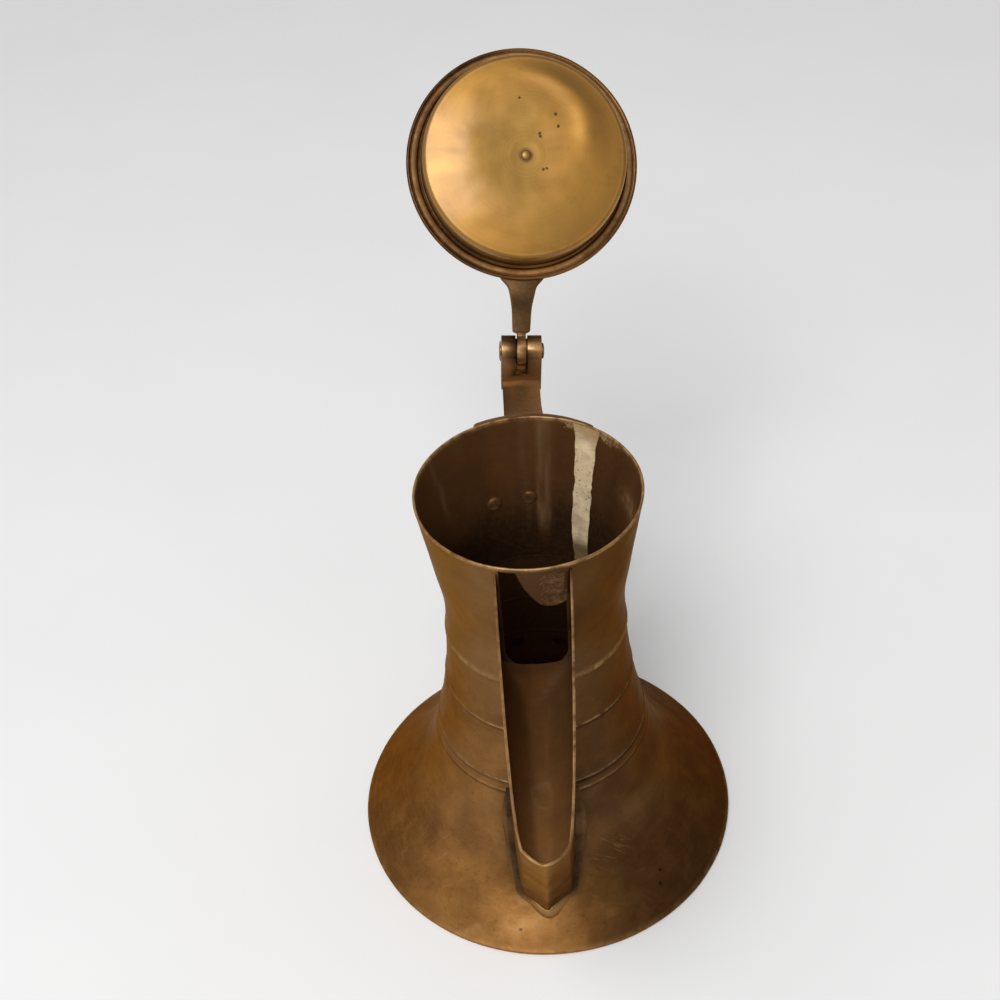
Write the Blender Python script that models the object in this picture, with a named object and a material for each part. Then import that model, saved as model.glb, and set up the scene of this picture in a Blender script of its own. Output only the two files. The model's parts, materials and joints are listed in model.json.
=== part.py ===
"""Brass dallah, an Arabic coffee pot, standing with its lid swung open.

The spout points along -Y, the handle along +Y and the pot stands on Z = 0.
All lengths are metres. The lid is drawn closed and then turned open about its pin.
"""
import bmesh
import bpy
from math import cos, hypot, pi, radians, sin, sqrt
from mathutils import Matrix, Vector

# Gaps between pieces
FIT = 0.0003
PIN_CLEARANCE = 0.00008

# How far a cutter reaches past the piece it cuts
CUT_REACH = 0.010

# Round outline of the pot, bottom to top
BASE_RADIUS = 0.0847
FOOT_LAND = 0.0018
FLARE_HEIGHT = 0.0315
FLARE_RADIUS = 0.0580
SHOULDER_HEIGHT = 0.0658
SHOULDER_RADIUS = 0.0458
CHEST_HEIGHT = 0.0937
CHEST_RADIUS = 0.0403
JOINT_HEIGHT = 0.1222
JOINT_RADIUS = 0.0378
WAIST_HEIGHT = 0.1390
WAIST_RADIUS = 0.0373
THROAT_HEIGHT = 0.1600
THROAT_RADIUS = 0.0400
RIM_HEIGHT = 0.1936
RIM_RADIUS = 0.0450
ROUND_STEPS = 48
LEVEL_STEP = 0.0095

# Sheet metal and turned grooves
BODY_WALL = 0.0012
NECK_WALL = 0.0010
BASE_THICKNESS = 0.0012
SPIGOT_DEPTH = 0.0060
GROOVE_HEIGHTS = (0.0610, SHOULDER_HEIGHT, CHEST_HEIGHT)
GROOVE_DEPTH = 0.0004
GROOVE_HALF_WIDTH = 0.0008
BASE_SOLDER_HEIGHT = 0.0030
BASE_SOLDER_WIDTH = 0.0048

# Pouring window in the neck and the torn flap left hanging in it
WINDOW_HALF_WIDTH = 0.0124
WINDOW_SILL = 0.1315
WINDOW_CORNER = 0.0080
RIM_BRIDGE = 0.0022
FLAP_DROP = 0.0215
FLAP_START = 0.0060

# Seam of the rolled neck, turned from the back towards +X
SEAM_FROM = radians(27.5)
SEAM_TO = radians(42.0)
SEAM_THICKNESS = 0.0004
SEAM_BOTTOM = 0.1260

# Spout
SPOUT_WALL = 0.0014
SPOUT_FOOT_OUT = 0.0720
SPOUT_FOOT_HEIGHT = 0.0135
SPOUT_HEEL = 0.0095
SPOUT_TIP_OUT = 0.1535
SPOUT_TIP_HEIGHT = 0.1665
SPOUT_LIP_HEIGHT = 0.1890
KEEL_BEND_OUT = 0.0975
KEEL_BEND_HEIGHT = 0.0800
CHINE_AT_FOOT = 0.0105
CHINE_AT_TIP = 0.0076
PROW_SWEEP = 0.75
PROW_BLUNTNESS = 1.9
SPOUT_HALF_WIDTH = 0.0150
SPOUT_BACK = 0.0300
SPOUT_FOOT_SHIFT = -0.0018
SPOUT_LEVELS = 13
WALL_COLUMNS = 5
FLOOR_THICKNESS = 0.0010
FLOOR_END_DROP = 0.0030
SOLDER_WIDTH = 0.0028
SOLDER_THICKNESS = 0.0008
SOLDER_TOP = 0.0640
SOLDER_REACH = radians(37.5)

# Strap, hinge bracket and fork
STRAP_THICKNESS = 0.0028
STRAP_BELOW_RIM = 0.0003
STRAP_HEIGHT = 0.0143
STRAP_HIGH = RIM_HEIGHT - STRAP_BELOW_RIM
STRAP_LOW = STRAP_HIGH - STRAP_HEIGHT
STRAP_LEFT = radians(27.5)
STRAP_RIGHT = radians(37.5)
PIN_BACK = 0.0765
PIN_ABOVE_RIM = 0.0095
PIN_RADIUS = 0.0020
PIN_HEAD_RADIUS = 0.0033
PIN_HEAD_HEIGHT = 0.0010
HINGE_LEAN = radians(3.8)
FORK_WIDTH = 0.0167
FORK_SLOT = 0.0050
KNUCKLE_RADIUS = 0.0065
ARM_WIDTH = 0.0154
ARM_TOP_DROP = 0.0010
ARM_DEPTH = 0.0062
SLOT_DEPTH = 0.0102
STOP_FORWARD = 0.0033
STOP_DEPTH = 0.0072

# Lid, drawn closed
LID_OPEN_ANGLE = radians(132.0)
FLANGE_RADIUS = 0.0482
FLANGE_THICKNESS = 0.0016
DOME_RADIUS = 0.0436
DOME_BAND = 0.0048
DOME_LEDGE = 0.0022
DOME_HEIGHT = 0.0255
DOME_TOP_RADIUS = 0.0070
LID_WALL = 0.0012
PLUG_RADIUS = 0.0420
PLUG_TAPER = 0.0008
PLUG_DEPTH = 0.0136
PLUG_SAG = 0.0006
PLUG_EDGE = 0.0018
PLUG_WALL = 0.0010
LID_STEPS = 48

# Lid arm and its tongue
TONGUE_WIDTH = 0.0045
ARM_NARROW = 0.0076
ARM_FAN = 0.0185
LID_ARM_THICKNESS = 0.0034
LUG_DEPTH = 0.0094
LUG_HALF_WIDTH = 0.0030

# Finial
TANG_RADIUS = 0.0017
TANG_HEAD_RADIUS = 0.0026
TANG_HEAD_HEIGHT = 0.0010
COLLAR_RADIUS = 0.0098
COLLAR_HEIGHT = 0.0042
KNOB_RADIUS = 0.0072
KNOB_FOOT = 0.0040
FINIAL_HEIGHT = 0.0330
FINIAL_STEPS = 20

# Handle and its plates
HANDLE_BELOW_STRAP = 0.0240
HANDLE_TOP_HEIGHT = STRAP_LOW - HANDLE_BELOW_STRAP
HANDLE_BOTTOM_HEIGHT = 0.0585
HANDLE_REACH = 0.0980
HANDLE_WIDTH = 0.0125
HANDLE_DEPTH = 0.0085
HANDLE_ROOT = 0.0020
PLATE_THICKNESS = 0.0015
TOP_PLATE_SPAN = radians(31.0)
TOP_PLATE_HALF_HEIGHT = 0.0070
FOOT_PLATE_SPAN = radians(17.0)
FOOT_PLATE_HALF_HEIGHT = 0.0110
RIVET_RADIUS = 0.0015
RIVET_HEAD_RADIUS = 0.0032
RIVET_HEAD_HEIGHT = 0.0009
TOP_RIVET_ANGLE = radians(-23.0)
FOOT_RIVET_ANGLE = radians(12.0)
RIVET_BLIND_DEPTH = 0.0030
RIVET_STEPS = 12

BACK = pi / 2
PIN_CENTRE = Vector((0.0, PIN_BACK, RIM_HEIGHT + PIN_ABOVE_RIM))
PIN_AXIS = Vector((cos(HINGE_LEAN), 0.0, -sin(HINGE_LEAN)))


def clear_scene():
    for old in list(bpy.data.objects):
        bpy.data.objects.remove(old, do_unlink=True)


def material(name, colour, roughness, metallic=1.0):
    """One Principled material in a plain colour."""
    made = bpy.data.materials.new(name)
    made.use_nodes = True
    shader = made.node_tree.nodes["Principled BSDF"]
    shader.inputs["Base Color"].default_value = (*colour, 1.0)
    shader.inputs["Roughness"].default_value = roughness
    shader.inputs["Metallic"].default_value = metallic
    made.diffuse_color = (*colour, 1.0)
    return made


def finish_object(name, bm, look, sharp=radians(35.0)):
    """Turn a bmesh into a named, smooth shaded object."""
    bmesh.ops.recalc_face_normals(bm, faces=bm.faces)
    mesh = bpy.data.meshes.new(name)
    bm.to_mesh(mesh)
    bm.free()
    mesh.shade_smooth()
    mesh.set_sharp_from_angle(angle=sharp)
    made = bpy.data.objects.new(name, mesh)
    bpy.context.scene.collection.objects.link(made)
    if look:
        mesh.materials.append(look)
    return made


def as_cutter(made):
    made.hide_render = True
    made.display_type = "WIRE"
    return made


def boolean(target, other, operation="DIFFERENCE"):
    step = target.modifiers.new(operation.lower(), "BOOLEAN")
    step.operation = operation
    step.solver = "EXACT"
    step.object = as_cutter(other)
    return target


def lathe(name, profile, look, steps=ROUND_STEPS, start=0.0, sweep=2 * pi):
    """Turn a (radius, height) profile about Z, all round or over a part of the circle."""
    bm = bmesh.new()
    turn = Matrix.Rotation(start, 3, "Z")
    points = [bm.verts.new(turn @ Vector((radius, 0.0, height))) for radius, height in profile]
    whole = sweep > 2 * pi - 1e-6
    closed = profile[0][0] > 1e-6
    if whole:
        edges = [bm.edges.new(pair) for pair in zip(points, points[1:])]
        if closed:
            edges.append(bm.edges.new((points[-1], points[0])))
        geometry = points + edges
    else:
        face = bm.faces.new(points)
        geometry = points + list(face.edges) + [face]
    bmesh.ops.spin(bm, geom=geometry, cent=(0, 0, 0), axis=(0, 0, 1), angle=sweep,
                   steps=steps, use_merge=whole, use_duplicate=False)
    bmesh.ops.remove_doubles(bm, verts=bm.verts, dist=1e-6)
    return finish_object(name, bm, look)


def loft(name, sections, look, sharp=radians(35.0)):
    """Skin closed sections of equal point counts and cap both ends."""
    bm = bmesh.new()
    rings = [[bm.verts.new(point) for point in section] for section in sections]
    count = len(rings[0])
    for low, high in zip(rings, rings[1:]):
        for i in range(count):
            j = (i + 1) % count
            bm.faces.new((low[i], low[j], high[j], high[i]))
    bm.faces.new(rings[0])
    bm.faces.new(rings[-1])
    return finish_object(name, bm, look, sharp)


def extrude_side(name, outline, half_width, look):
    """Extrude a (y, z) outline from -half_width to +half_width along X."""
    return loft(name, [[(side * half_width, y, z) for y, z in outline] for side in (-1, 1)], look)


def arc(centre, radius, first, last, steps):
    """Points of an arc in a plane, as (a, b) pairs."""
    turns = [first + (last - first) * i / steps for i in range(steps + 1)]
    return [(centre[0] + radius * cos(t), centre[1] + radius * sin(t)) for t in turns]


def lerp(a, b, share):
    return a + (b - a) * share


def smooth_through(stations, at):
    """Smooth curve through (position, value) stations, read at one position."""
    spots = [spot for spot, _ in stations]
    values = [value for _, value in stations]
    last = len(stations) - 1
    chords = [(values[i + 1] - values[i]) / (spots[i + 1] - spots[i]) for i in range(last)]
    slopes = [chords[0]]
    for i in range(1, last):
        left = spots[i] - spots[i - 1]
        right = spots[i + 1] - spots[i]
        slopes.append((chords[i - 1] * right + chords[i] * left) / (left + right))
    slopes.append(chords[-1])
    slopes[0] = 1.5 * chords[0] - 0.5 * slopes[1]
    slopes[-1] = 1.5 * chords[-1] - 0.5 * slopes[-2]
    i = 0
    while i < last - 1 and at > spots[i + 1]:
        i += 1
    width = spots[i + 1] - spots[i]
    t = (at - spots[i]) / width
    return (values[i] * (1 + 2 * t) * (1 - t) ** 2 + slopes[i] * width * t * (1 - t) ** 2
            + values[i + 1] * t * t * (3 - 2 * t) + slopes[i + 1] * width * t * t * (t - 1))


def pot_curve(height):
    """Outer radius of the pot at a height, before it is divided into flat levels."""
    if height <= FOOT_LAND:
        return BASE_RADIUS
    stations = [(FOOT_LAND, BASE_RADIUS), (FLARE_HEIGHT, FLARE_RADIUS),
                (SHOULDER_HEIGHT, SHOULDER_RADIUS), (CHEST_HEIGHT, CHEST_RADIUS),
                (JOINT_HEIGHT, JOINT_RADIUS), (WAIST_HEIGHT, WAIST_RADIUS),
                (THROAT_HEIGHT, THROAT_RADIUS), (RIM_HEIGHT, RIM_RADIUS)]
    return smooth_through(stations, height)


def pot_levels():
    """Heights at which the pot's outline has a point."""
    fixed = [0.0, FOOT_LAND, JOINT_HEIGHT, RIM_HEIGHT]
    for groove in GROOVE_HEIGHTS:
        fixed += [groove - GROOVE_HALF_WIDTH, groove, groove + GROOVE_HALF_WIDTH]
    count = round(RIM_HEIGHT / LEVEL_STEP)
    spread = [RIM_HEIGHT * i / count for i in range(1, count)]
    spread = [z for z in spread if min(abs(z - f) for f in fixed) > 0.3 * LEVEL_STEP]
    return sorted(fixed + spread)


LEVELS = pot_levels()
OUTLINE = [(pot_curve(z), z) for z in LEVELS]


def pot_radius(height):
    """Outer radius on the flat facets between two levels."""
    for (r0, z0), (r1, z1) in zip(OUTLINE, OUTLINE[1:]):
        if height <= z1:
            return lerp(r0, r1, (height - z0) / (z1 - z0))
    return OUTLINE[-1][0]


def wall_line(low, high, offset):
    """Outline of the pot between two heights, moved outwards by an offset."""
    heights = [low] + [z for z in LEVELS if low + 1e-5 < z < high - 1e-5] + [high]
    return [(pot_radius(z) + offset, z) for z in heights]


def pot_core(name, offset):
    """Solid pot, grown by an offset, that trims whatever is set against its wall."""
    side = wall_line(0.0, RIM_HEIGHT, offset)
    top = RIM_HEIGHT + 2 * CUT_REACH
    bottom = -2 * CUT_REACH
    profile = [(0.0, top), (RIM_RADIUS + offset, top)] + side[::-1]
    profile += [(BASE_RADIUS + offset, bottom), (0.0, bottom)]
    return as_cutter(lathe(name, profile, None))


def wall_patch(name, low, high, gap, thickness, start, sweep, steps, look):
    """Curved plate that lies on the pot's wall."""
    inner = wall_line(low, high, gap)
    outer = wall_line(low, high, gap + thickness)
    return lathe(name, inner + outer[::-1], look, steps=steps, start=start, sweep=sweep)


def make_body(look):
    outside = wall_line(0.0, JOINT_HEIGHT, 0.0)
    outside = [(r - GROOVE_DEPTH if z in GROOVE_HEIGHTS else r, z) for r, z in outside]
    inside = wall_line(0.0, JOINT_HEIGHT, -BODY_WALL)
    return lathe("body_shell", outside[::-1] + inside, look)


def make_neck(look):
    outside = wall_line(JOINT_HEIGHT + FIT, RIM_HEIGHT, 0.0)
    inside = wall_line(JOINT_HEIGHT + 2 * BODY_WALL, RIM_HEIGHT, -NECK_WALL)
    spigot = JOINT_RADIUS - BODY_WALL - FIT
    profile = outside[::-1] + [(spigot, JOINT_HEIGHT + FIT), (spigot, JOINT_HEIGHT - SPIGOT_DEPTH),
                               (spigot - NECK_WALL, JOINT_HEIGHT - SPIGOT_DEPTH),
                               (spigot - NECK_WALL, JOINT_HEIGHT + FIT)] + inside
    neck = lathe("neck", profile, look)
    return boolean(neck, window_cutter())


def window_cutter():
    """Pouring window: round lower corners, with a torn flap at its upper right."""
    w = WINDOW_HALF_WIDTH
    top = RIM_HEIGHT - RIM_BRIDGE
    corner = WINDOW_SILL + WINDOW_CORNER
    points = arc((w - WINDOW_CORNER, corner), WINDOW_CORNER, 0.0, -pi / 2, 4)
    points += arc((WINDOW_CORNER - w, corner), WINDOW_CORNER, -pi / 2, -pi, 4)
    points += [(-w, top), (-FLAP_START, top), (-0.25 * w, top - 0.45 * FLAP_DROP),
               (0.15 * w, top - 0.86 * FLAP_DROP), (0.55 * w, top - FLAP_DROP),
               (w, top - 0.93 * FLAP_DROP)]
    near, far = -RIM_RADIUS - CUT_REACH, -0.5 * SPOUT_BACK
    return as_cutter(loft("window_cutter", [[(x, y, z) for x, z in points] for y in (near, far)],
                          None))


def make_base(look):
    radius = BASE_RADIUS - BODY_WALL - FIT
    return lathe("base_plate", [(0.0, BASE_THICKNESS), (radius, BASE_THICKNESS),
                                (radius, 0.0), (0.0, 0.0)], look)


def make_base_solder(look):
    """Fillet of solder inside, where the base plate meets the body's wall."""
    low = BASE_THICKNESS + FIT
    high = low + BASE_SOLDER_HEIGHT
    corner = (pot_radius(low) - BODY_WALL - 2 * FIT, low)
    up = (pot_radius(high) - BODY_WALL - 2 * FIT, high)
    inward = (corner[0] - BASE_SOLDER_WIDTH, low)
    return lathe("base_solder", [up, corner, inward], look)


def make_seam(look):
    gap = -NECK_WALL - FIT - SEAM_THICKNESS
    return wall_patch("seam_solder", SEAM_BOTTOM, RIM_HEIGHT - 2 * FIT, gap, SEAM_THICKNESS,
                      BACK - SEAM_TO, SEAM_TO - SEAM_FROM, 3, look)


def keel_out(height):
    """How far the spout's ridge stands out at a height, on its bent keel line."""
    a = SPOUT_FOOT_HEIGHT - 2 * KEEL_BEND_HEIGHT + SPOUT_TIP_HEIGHT
    b = 2 * (KEEL_BEND_HEIGHT - SPOUT_FOOT_HEIGHT)
    c = SPOUT_FOOT_HEIGHT - height
    t = 2 * -c / (b + sqrt(b * b - 4 * a * c))
    return ((1 - t) ** 2 * SPOUT_FOOT_OUT + 2 * t * (1 - t) * KEEL_BEND_OUT
            + t * t * SPOUT_TIP_OUT)


def spout_section(height, inset, deeper):
    """Level cut through the spout: a blunt prow and two bowed walls that run into the pot."""
    rise = (height - SPOUT_FOOT_HEIGHT) / (SPOUT_TIP_HEIGHT - SPOUT_FOOT_HEIGHT)
    rise = min(max(rise, 0.0), 1.15)
    prow_share = 1.10 * hypot(1.0, PROW_SWEEP)
    ridge = keel_out(height) - prow_share * inset
    chine = lerp(CHINE_AT_FOOT, CHINE_AT_TIP, rise) - inset
    half = SPOUT_HALF_WIDTH - inset
    bow = lerp(0.75, 0.5, rise)
    shift = SPOUT_FOOT_SHIFT * (1.0 - rise)
    start = ridge - PROW_SWEEP * chine
    blunt = lerp(1.0, PROW_BLUNTNESS, rise ** 3)
    side = [(chine * i / 3, -lerp(start, ridge, 1.0 - (i / 3) ** blunt)) for i in (1, 2)]
    for i in range(WALL_COLUMNS + 1):
        share = (i / WALL_COLUMNS) ** 2
        side.append((chine + (half - chine) * share ** bow, -lerp(start, SPOUT_BACK, share)))
    side.append((half, deeper - SPOUT_BACK))
    right = [(x + shift, y, height) for x, y in side]
    left = [(shift - x, y, height) for x, y in reversed(side)]
    return left + [(shift, -ridge, height)] + right


def spout_solid(name, inset, deeper, look=None):
    low = SPOUT_FOOT_HEIGHT - SPOUT_HEEL
    high = RIM_HEIGHT + 0.5 * CUT_REACH
    heights = [lerp(low, high, i / SPOUT_LEVELS) for i in range(SPOUT_LEVELS + 1)]
    return loft(name, [spout_section(z, inset, deeper) for z in heights], look, radians(25.0))


def lip_height(out):
    """Height of the spout's lips at a distance from the pot's axis."""
    share = (out - RIM_RADIUS) / (SPOUT_TIP_OUT - RIM_RADIUS)
    return lerp(SPOUT_LIP_HEIGHT, SPOUT_TIP_HEIGHT, share)


def make_spout(look):
    spout = spout_solid("spout_shell", 0.0, FIT, look)
    boolean(spout, spout_solid("spout_hollow", SPOUT_WALL, CUT_REACH))
    boolean(spout, pot_core("spout_trim", FIT))
    far = 1.5 * SPOUT_TIP_OUT
    above = RIM_HEIGHT + 3 * CUT_REACH
    wedge = [(0.0, lip_height(0.0)), (-far, lip_height(far)), (-far, above), (0.0, above)]
    return boolean(spout, extrude_side("lip_cutter", wedge, 2 * SPOUT_HALF_WIDTH, None))


def make_spout_floor(look):
    """Sheet that carries the coffee from the window's sill up to the lip."""
    start = -SPOUT_BACK
    sill = WINDOW_SILL
    end = -SPOUT_TIP_OUT
    tip = SPOUT_TIP_HEIGHT - FLOOR_END_DROP
    slab = [(start, sill), (end, tip), (end, tip - FLOOR_THICKNESS),
            (start, sill - FLOOR_THICKNESS)]
    floor = extrude_side("spout_floor", slab, 2 * SPOUT_HALF_WIDTH, look)
    cavity = spout_solid("floor_cavity", SPOUT_WALL + FIT, CUT_REACH)
    boolean(floor, cavity, "INTERSECT")
    return boolean(floor, pot_core("floor_trim", FIT))


def make_spout_solder(look):
    """Bead of solder that runs round the spout's foot on the body."""
    reach = SOLDER_REACH
    bead = wall_patch("spout_solder", FOOT_LAND + FIT, SOLDER_TOP, FIT,
                      SOLDER_THICKNESS, -BACK - reach, 2 * reach, 10, look)
    boolean(bead, spout_solid("solder_reach", -SOLDER_WIDTH, CUT_REACH), "INTERSECT")
    return boolean(bead, spout_solid("solder_inner", -FIT, 2 * CUT_REACH))


def make_strap(look):
    return wall_patch("neck_strap", STRAP_LOW, STRAP_HIGH, FIT, STRAP_THICKNESS,
                      BACK - STRAP_RIGHT, STRAP_LEFT + STRAP_RIGHT, 9, look)


def lean(made):
    """Turn a piece of the hinge with the pin's slight lean."""
    shift = Matrix.Translation(PIN_CENTRE)
    made.data.transform(shift @ Matrix.Rotation(HINGE_LEAN, 4, "Y") @ shift.inverted())
    return made


def pin_hole(name):
    bm = bmesh.new()
    bmesh.ops.create_cone(bm, cap_ends=True, segments=24, radius1=PIN_RADIUS + PIN_CLEARANCE,
                          radius2=PIN_RADIUS + PIN_CLEARANCE, depth=2 * FORK_WIDTH)
    place = Matrix.Translation(PIN_CENTRE) @ Matrix.Rotation(BACK, 4, "Y")
    bmesh.ops.transform(bm, matrix=place, verts=bm.verts)
    return as_cutter(lean(finish_object(name, bm, None)))


def make_bracket(look):
    """Arm that runs back from the strap and ends in an upright fork."""
    y, z = PIN_CENTRE.y, PIN_CENTRE.z
    top = RIM_HEIGHT - ARM_TOP_DROP
    bottom = top - ARM_DEPTH
    back = y + KNUCKLE_RADIUS
    front = y - KNUCKLE_RADIUS
    fork_side = arc((y, z), KNUCKLE_RADIUS, 0.0, pi, 10) + [(front, bottom + ARM_DEPTH * 0.2)]
    fork_side += arc((back - ARM_DEPTH, bottom + ARM_DEPTH), ARM_DEPTH, -pi / 2, 0.0, 4)
    root = RIM_RADIUS - CUT_REACH
    inside = front + 0.6 * KNUCKLE_RADIUS
    arm_side = [(root, top), (inside, top), (inside, bottom), (root, bottom - 0.5 * ARM_DEPTH)]
    bracket = extrude_side("hinge_bracket", arm_side, ARM_WIDTH / 2, look)
    boolean(bracket, lean(extrude_side("fork", fork_side, FORK_WIDTH / 2, None)), "UNION")
    ledge = z - STOP_DEPTH
    floor = z - SLOT_DEPTH
    stop = y - STOP_FORWARD
    tall = z + 2 * KNUCKLE_RADIUS
    far = y + 3 * KNUCKLE_RADIUS
    near = y - 3 * KNUCKLE_RADIUS
    slot = [(near, ledge), (stop, ledge), (stop, floor), (far, floor), (far, tall), (near, tall)]
    boolean(bracket, lean(extrude_side("fork_slot", slot, FORK_SLOT / 2, None)))
    boolean(bracket, pin_hole("fork_hole"))
    return boolean(bracket, pot_core("bracket_trim", 2 * FIT + STRAP_THICKNESS))


def make_pin(look):
    """Pin with a low peened head outside each ear of the fork."""
    half = FORK_WIDTH / 2 + FIT
    end = half + PIN_HEAD_HEIGHT
    profile = [(0.0, end), (0.6 * PIN_HEAD_RADIUS, end - 0.1 * PIN_HEAD_HEIGHT),
               (PIN_HEAD_RADIUS, half + 0.3 * PIN_HEAD_HEIGHT), (PIN_HEAD_RADIUS, half),
               (PIN_RADIUS, half)]
    profile += [(r, -h) for r, h in reversed(profile)]
    pin = lathe("hinge_pin", profile, look, steps=24)
    pin.data.transform(Matrix.Translation(PIN_CENTRE) @ Matrix.Rotation(BACK, 4, "Y"))
    return lean(pin)


def dome_line(offset):
    """Outer line of the lid's dome from its top edge down to the flange."""
    seat = RIM_HEIGHT + FIT + FLANGE_THICKNESS
    shoulder = seat + DOME_BAND
    crown = seat + DOME_HEIGHT
    radius = DOME_RADIUS - DOME_LEDGE
    steps = 7
    line = []
    for i in range(steps + 1):
        turn = BACK * (1 - i / steps)
        line.append((DOME_TOP_RADIUS + (radius - DOME_TOP_RADIUS) * cos(turn),
                     shoulder + (crown - shoulder) * sin(turn) ** 1.15))
    line += [(DOME_RADIUS, shoulder - FIT), (DOME_RADIUS, seat)]
    return [(r + offset, z + offset) for r, z in line[:-1]] + [(line[-1][0] + offset, seat)]


def make_dome(look):
    """Lid shell: round flange, upright band and a dome with a hole for the tang."""
    low = RIM_HEIGHT + FIT
    seat = low + FLANGE_THICKNESS
    flange = arc((FLANGE_RADIUS - 0.5 * FLANGE_THICKNESS, low + 0.5 * FLANGE_THICKNESS),
                 0.5 * FLANGE_THICKNESS, BACK, -BACK, 4)
    inside = [(r, z) for r, z in dome_line(-LID_WALL)]
    inner = PLUG_RADIUS + FIT
    hole = TANG_RADIUS + FIT
    crown_in = inside[0][1]
    crown_out = dome_line(0.0)[0][1]
    profile = [(hole, crown_out)] + dome_line(0.0) + flange + [(inner, low), (inner, seat)]
    profile += [(min(r, inner), z) for r, z in reversed(inside[:-1])] + [(hole, crown_in)]
    return lathe("lid_dome", profile, look, steps=LID_STEPS)


def make_plug(look):
    """Pan that closes the dome from below and drops into the mouth."""
    top = RIM_HEIGHT + FIT + FLANGE_THICKNESS + 0.6 * DOME_BAND
    bottom = RIM_HEIGHT + FIT - PLUG_DEPTH
    hole = TANG_RADIUS + FIT
    low_radius = PLUG_RADIUS - PLUG_TAPER
    edge = arc((low_radius - PLUG_EDGE, bottom + PLUG_EDGE), PLUG_EDGE, 0.0, -BACK, 4)
    inner_edge = arc((low_radius - PLUG_EDGE, bottom + PLUG_EDGE), PLUG_EDGE - PLUG_WALL,
                     -BACK, 0.0, 3)
    middle = bottom - 0.75 * PLUG_SAG
    centre = bottom - PLUG_SAG
    profile = [(PLUG_RADIUS, top), (PLUG_RADIUS, RIM_HEIGHT + FIT)] + edge
    profile += [(0.5 * low_radius, middle), (hole, centre), (hole, centre + PLUG_WALL),
                (0.5 * low_radius, middle + PLUG_WALL)]
    profile += inner_edge
    profile += [(PLUG_RADIUS - PLUG_WALL, RIM_HEIGHT + FIT), (PLUG_RADIUS - PLUG_WALL, top)]
    return lathe("lid_plug", profile, look, steps=LID_STEPS)


def make_finial_collar(look):
    base = RIM_HEIGHT + FIT + FLANGE_THICKNESS + DOME_HEIGHT + FIT
    hole = TANG_RADIUS + FIT
    profile = [(hole, base), (0.92 * DOME_TOP_RADIUS, base),
               (COLLAR_RADIUS, base + 0.3 * COLLAR_HEIGHT),
               (COLLAR_RADIUS, base + 0.6 * COLLAR_HEIGHT),
               (0.6 * COLLAR_RADIUS, base + COLLAR_HEIGHT), (hole, base + COLLAR_HEIGHT)]
    return lathe("finial_collar", profile, look, steps=FINIAL_STEPS)


def make_finial(look):
    """Turned knob and spire, with the long tang that is peened under the lid."""
    base = RIM_HEIGHT + FIT + FLANGE_THICKNESS + DOME_HEIGHT + COLLAR_HEIGHT + 2 * FIT
    ball = base + KNOB_FOOT + KNOB_RADIUS
    tip = base + FINIAL_HEIGHT
    under = RIM_HEIGHT - PLUG_DEPTH - PLUG_SAG
    neck = 0.45 * KNOB_RADIUS
    spire = tip - ball - KNOB_RADIUS
    profile = [(0.0, tip), (0.15 * KNOB_RADIUS, tip - 0.09 * spire),
               (0.36 * KNOB_RADIUS, tip - 0.56 * spire), (0.22 * KNOB_RADIUS, tip - 0.80 * spire),
               (0.47 * KNOB_RADIUS, tip - 0.93 * spire), (neck, ball + 0.92 * KNOB_RADIUS)]
    profile += arc((0.0, ball), KNOB_RADIUS, radians(55), radians(-60), 6)
    profile += [(neck, base + 0.4 * KNOB_FOOT), (0.6 * KNOB_RADIUS, base), (TANG_RADIUS, base),
                (TANG_RADIUS, under), (TANG_HEAD_RADIUS, under),
                (0.8 * TANG_HEAD_RADIUS, under - 0.7 * TANG_HEAD_HEIGHT),
                (0.0, under - TANG_HEAD_HEIGHT)]
    return lathe("finial", profile, look, steps=FINIAL_STEPS)


def make_lid_arm(look):
    """Bar from the lid to the fork, with a round tongue and a heel that stops the lid."""
    y, z = PIN_CENTRE.y, PIN_CENTRE.z
    seat = RIM_HEIGHT + 2 * FIT + FLANGE_THICKNESS
    half = LID_ARM_THICKNESS / 2
    edge = y - FLANGE_RADIUS
    end = y - DOME_RADIUS + 2 * half
    low = seat + half
    stations = [(0.0, TONGUE_WIDTH, z), (1.12 * KNUCKLE_RADIUS, TONGUE_WIDTH, lerp(z, low, 0.06)),
                (0.40 * edge, ARM_NARROW, lerp(z, low, 0.20)),
                (0.62 * edge, 1.15 * ARM_NARROW, lerp(z, low, 0.50)),
                (0.78 * edge, 1.38 * ARM_NARROW, lerp(z, low, 0.90)),
                (0.92 * edge, 0.66 * ARM_FAN, low), (1.06 * edge, ARM_FAN, low),
                (end, 0.9 * ARM_FAN, low)]
    sections = []
    bevel = 0.25 * half
    for away, width, centre in stations:
        w = width / 2
        corners = [(-w, bevel - half), (bevel - w, -half), (w - bevel, -half), (w, bevel - half),
                   (w, half - bevel), (w - bevel, half), (bevel - w, half), (-w, half - bevel)]
        sections.append([(x, y - away, centre + rise) for x, rise in corners])
    arm = loft("lid_arm", sections, look)
    round_part = arc((0.0, 0.0), KNUCKLE_RADIUS - FIT, radians(-55), radians(235), 14)
    heel = round_part + [(-LUG_HALF_WIDTH, -LUG_DEPTH), (LUG_HALF_WIDTH, -LUG_DEPTH)]
    turn = Matrix.Rotation(LID_OPEN_ANGLE, 2)
    points = [turn @ Vector(point) for point in heel]
    tongue = extrude_side("tongue", [(y + p.x, z + p.y) for p in points], TONGUE_WIDTH / 2, None)
    boolean(arm, lean(tongue), "UNION")
    boolean(arm, pin_hole("tongue_hole"))
    core = [(0.0, seat + DOME_HEIGHT), (DOME_RADIUS + FIT, seat + DOME_HEIGHT),
            (DOME_RADIUS + FIT, seat - CUT_REACH), (0.0, seat - CUT_REACH)]
    return boolean(arm, as_cutter(lathe("lid_core", core, None, steps=LID_STEPS)))


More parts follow.
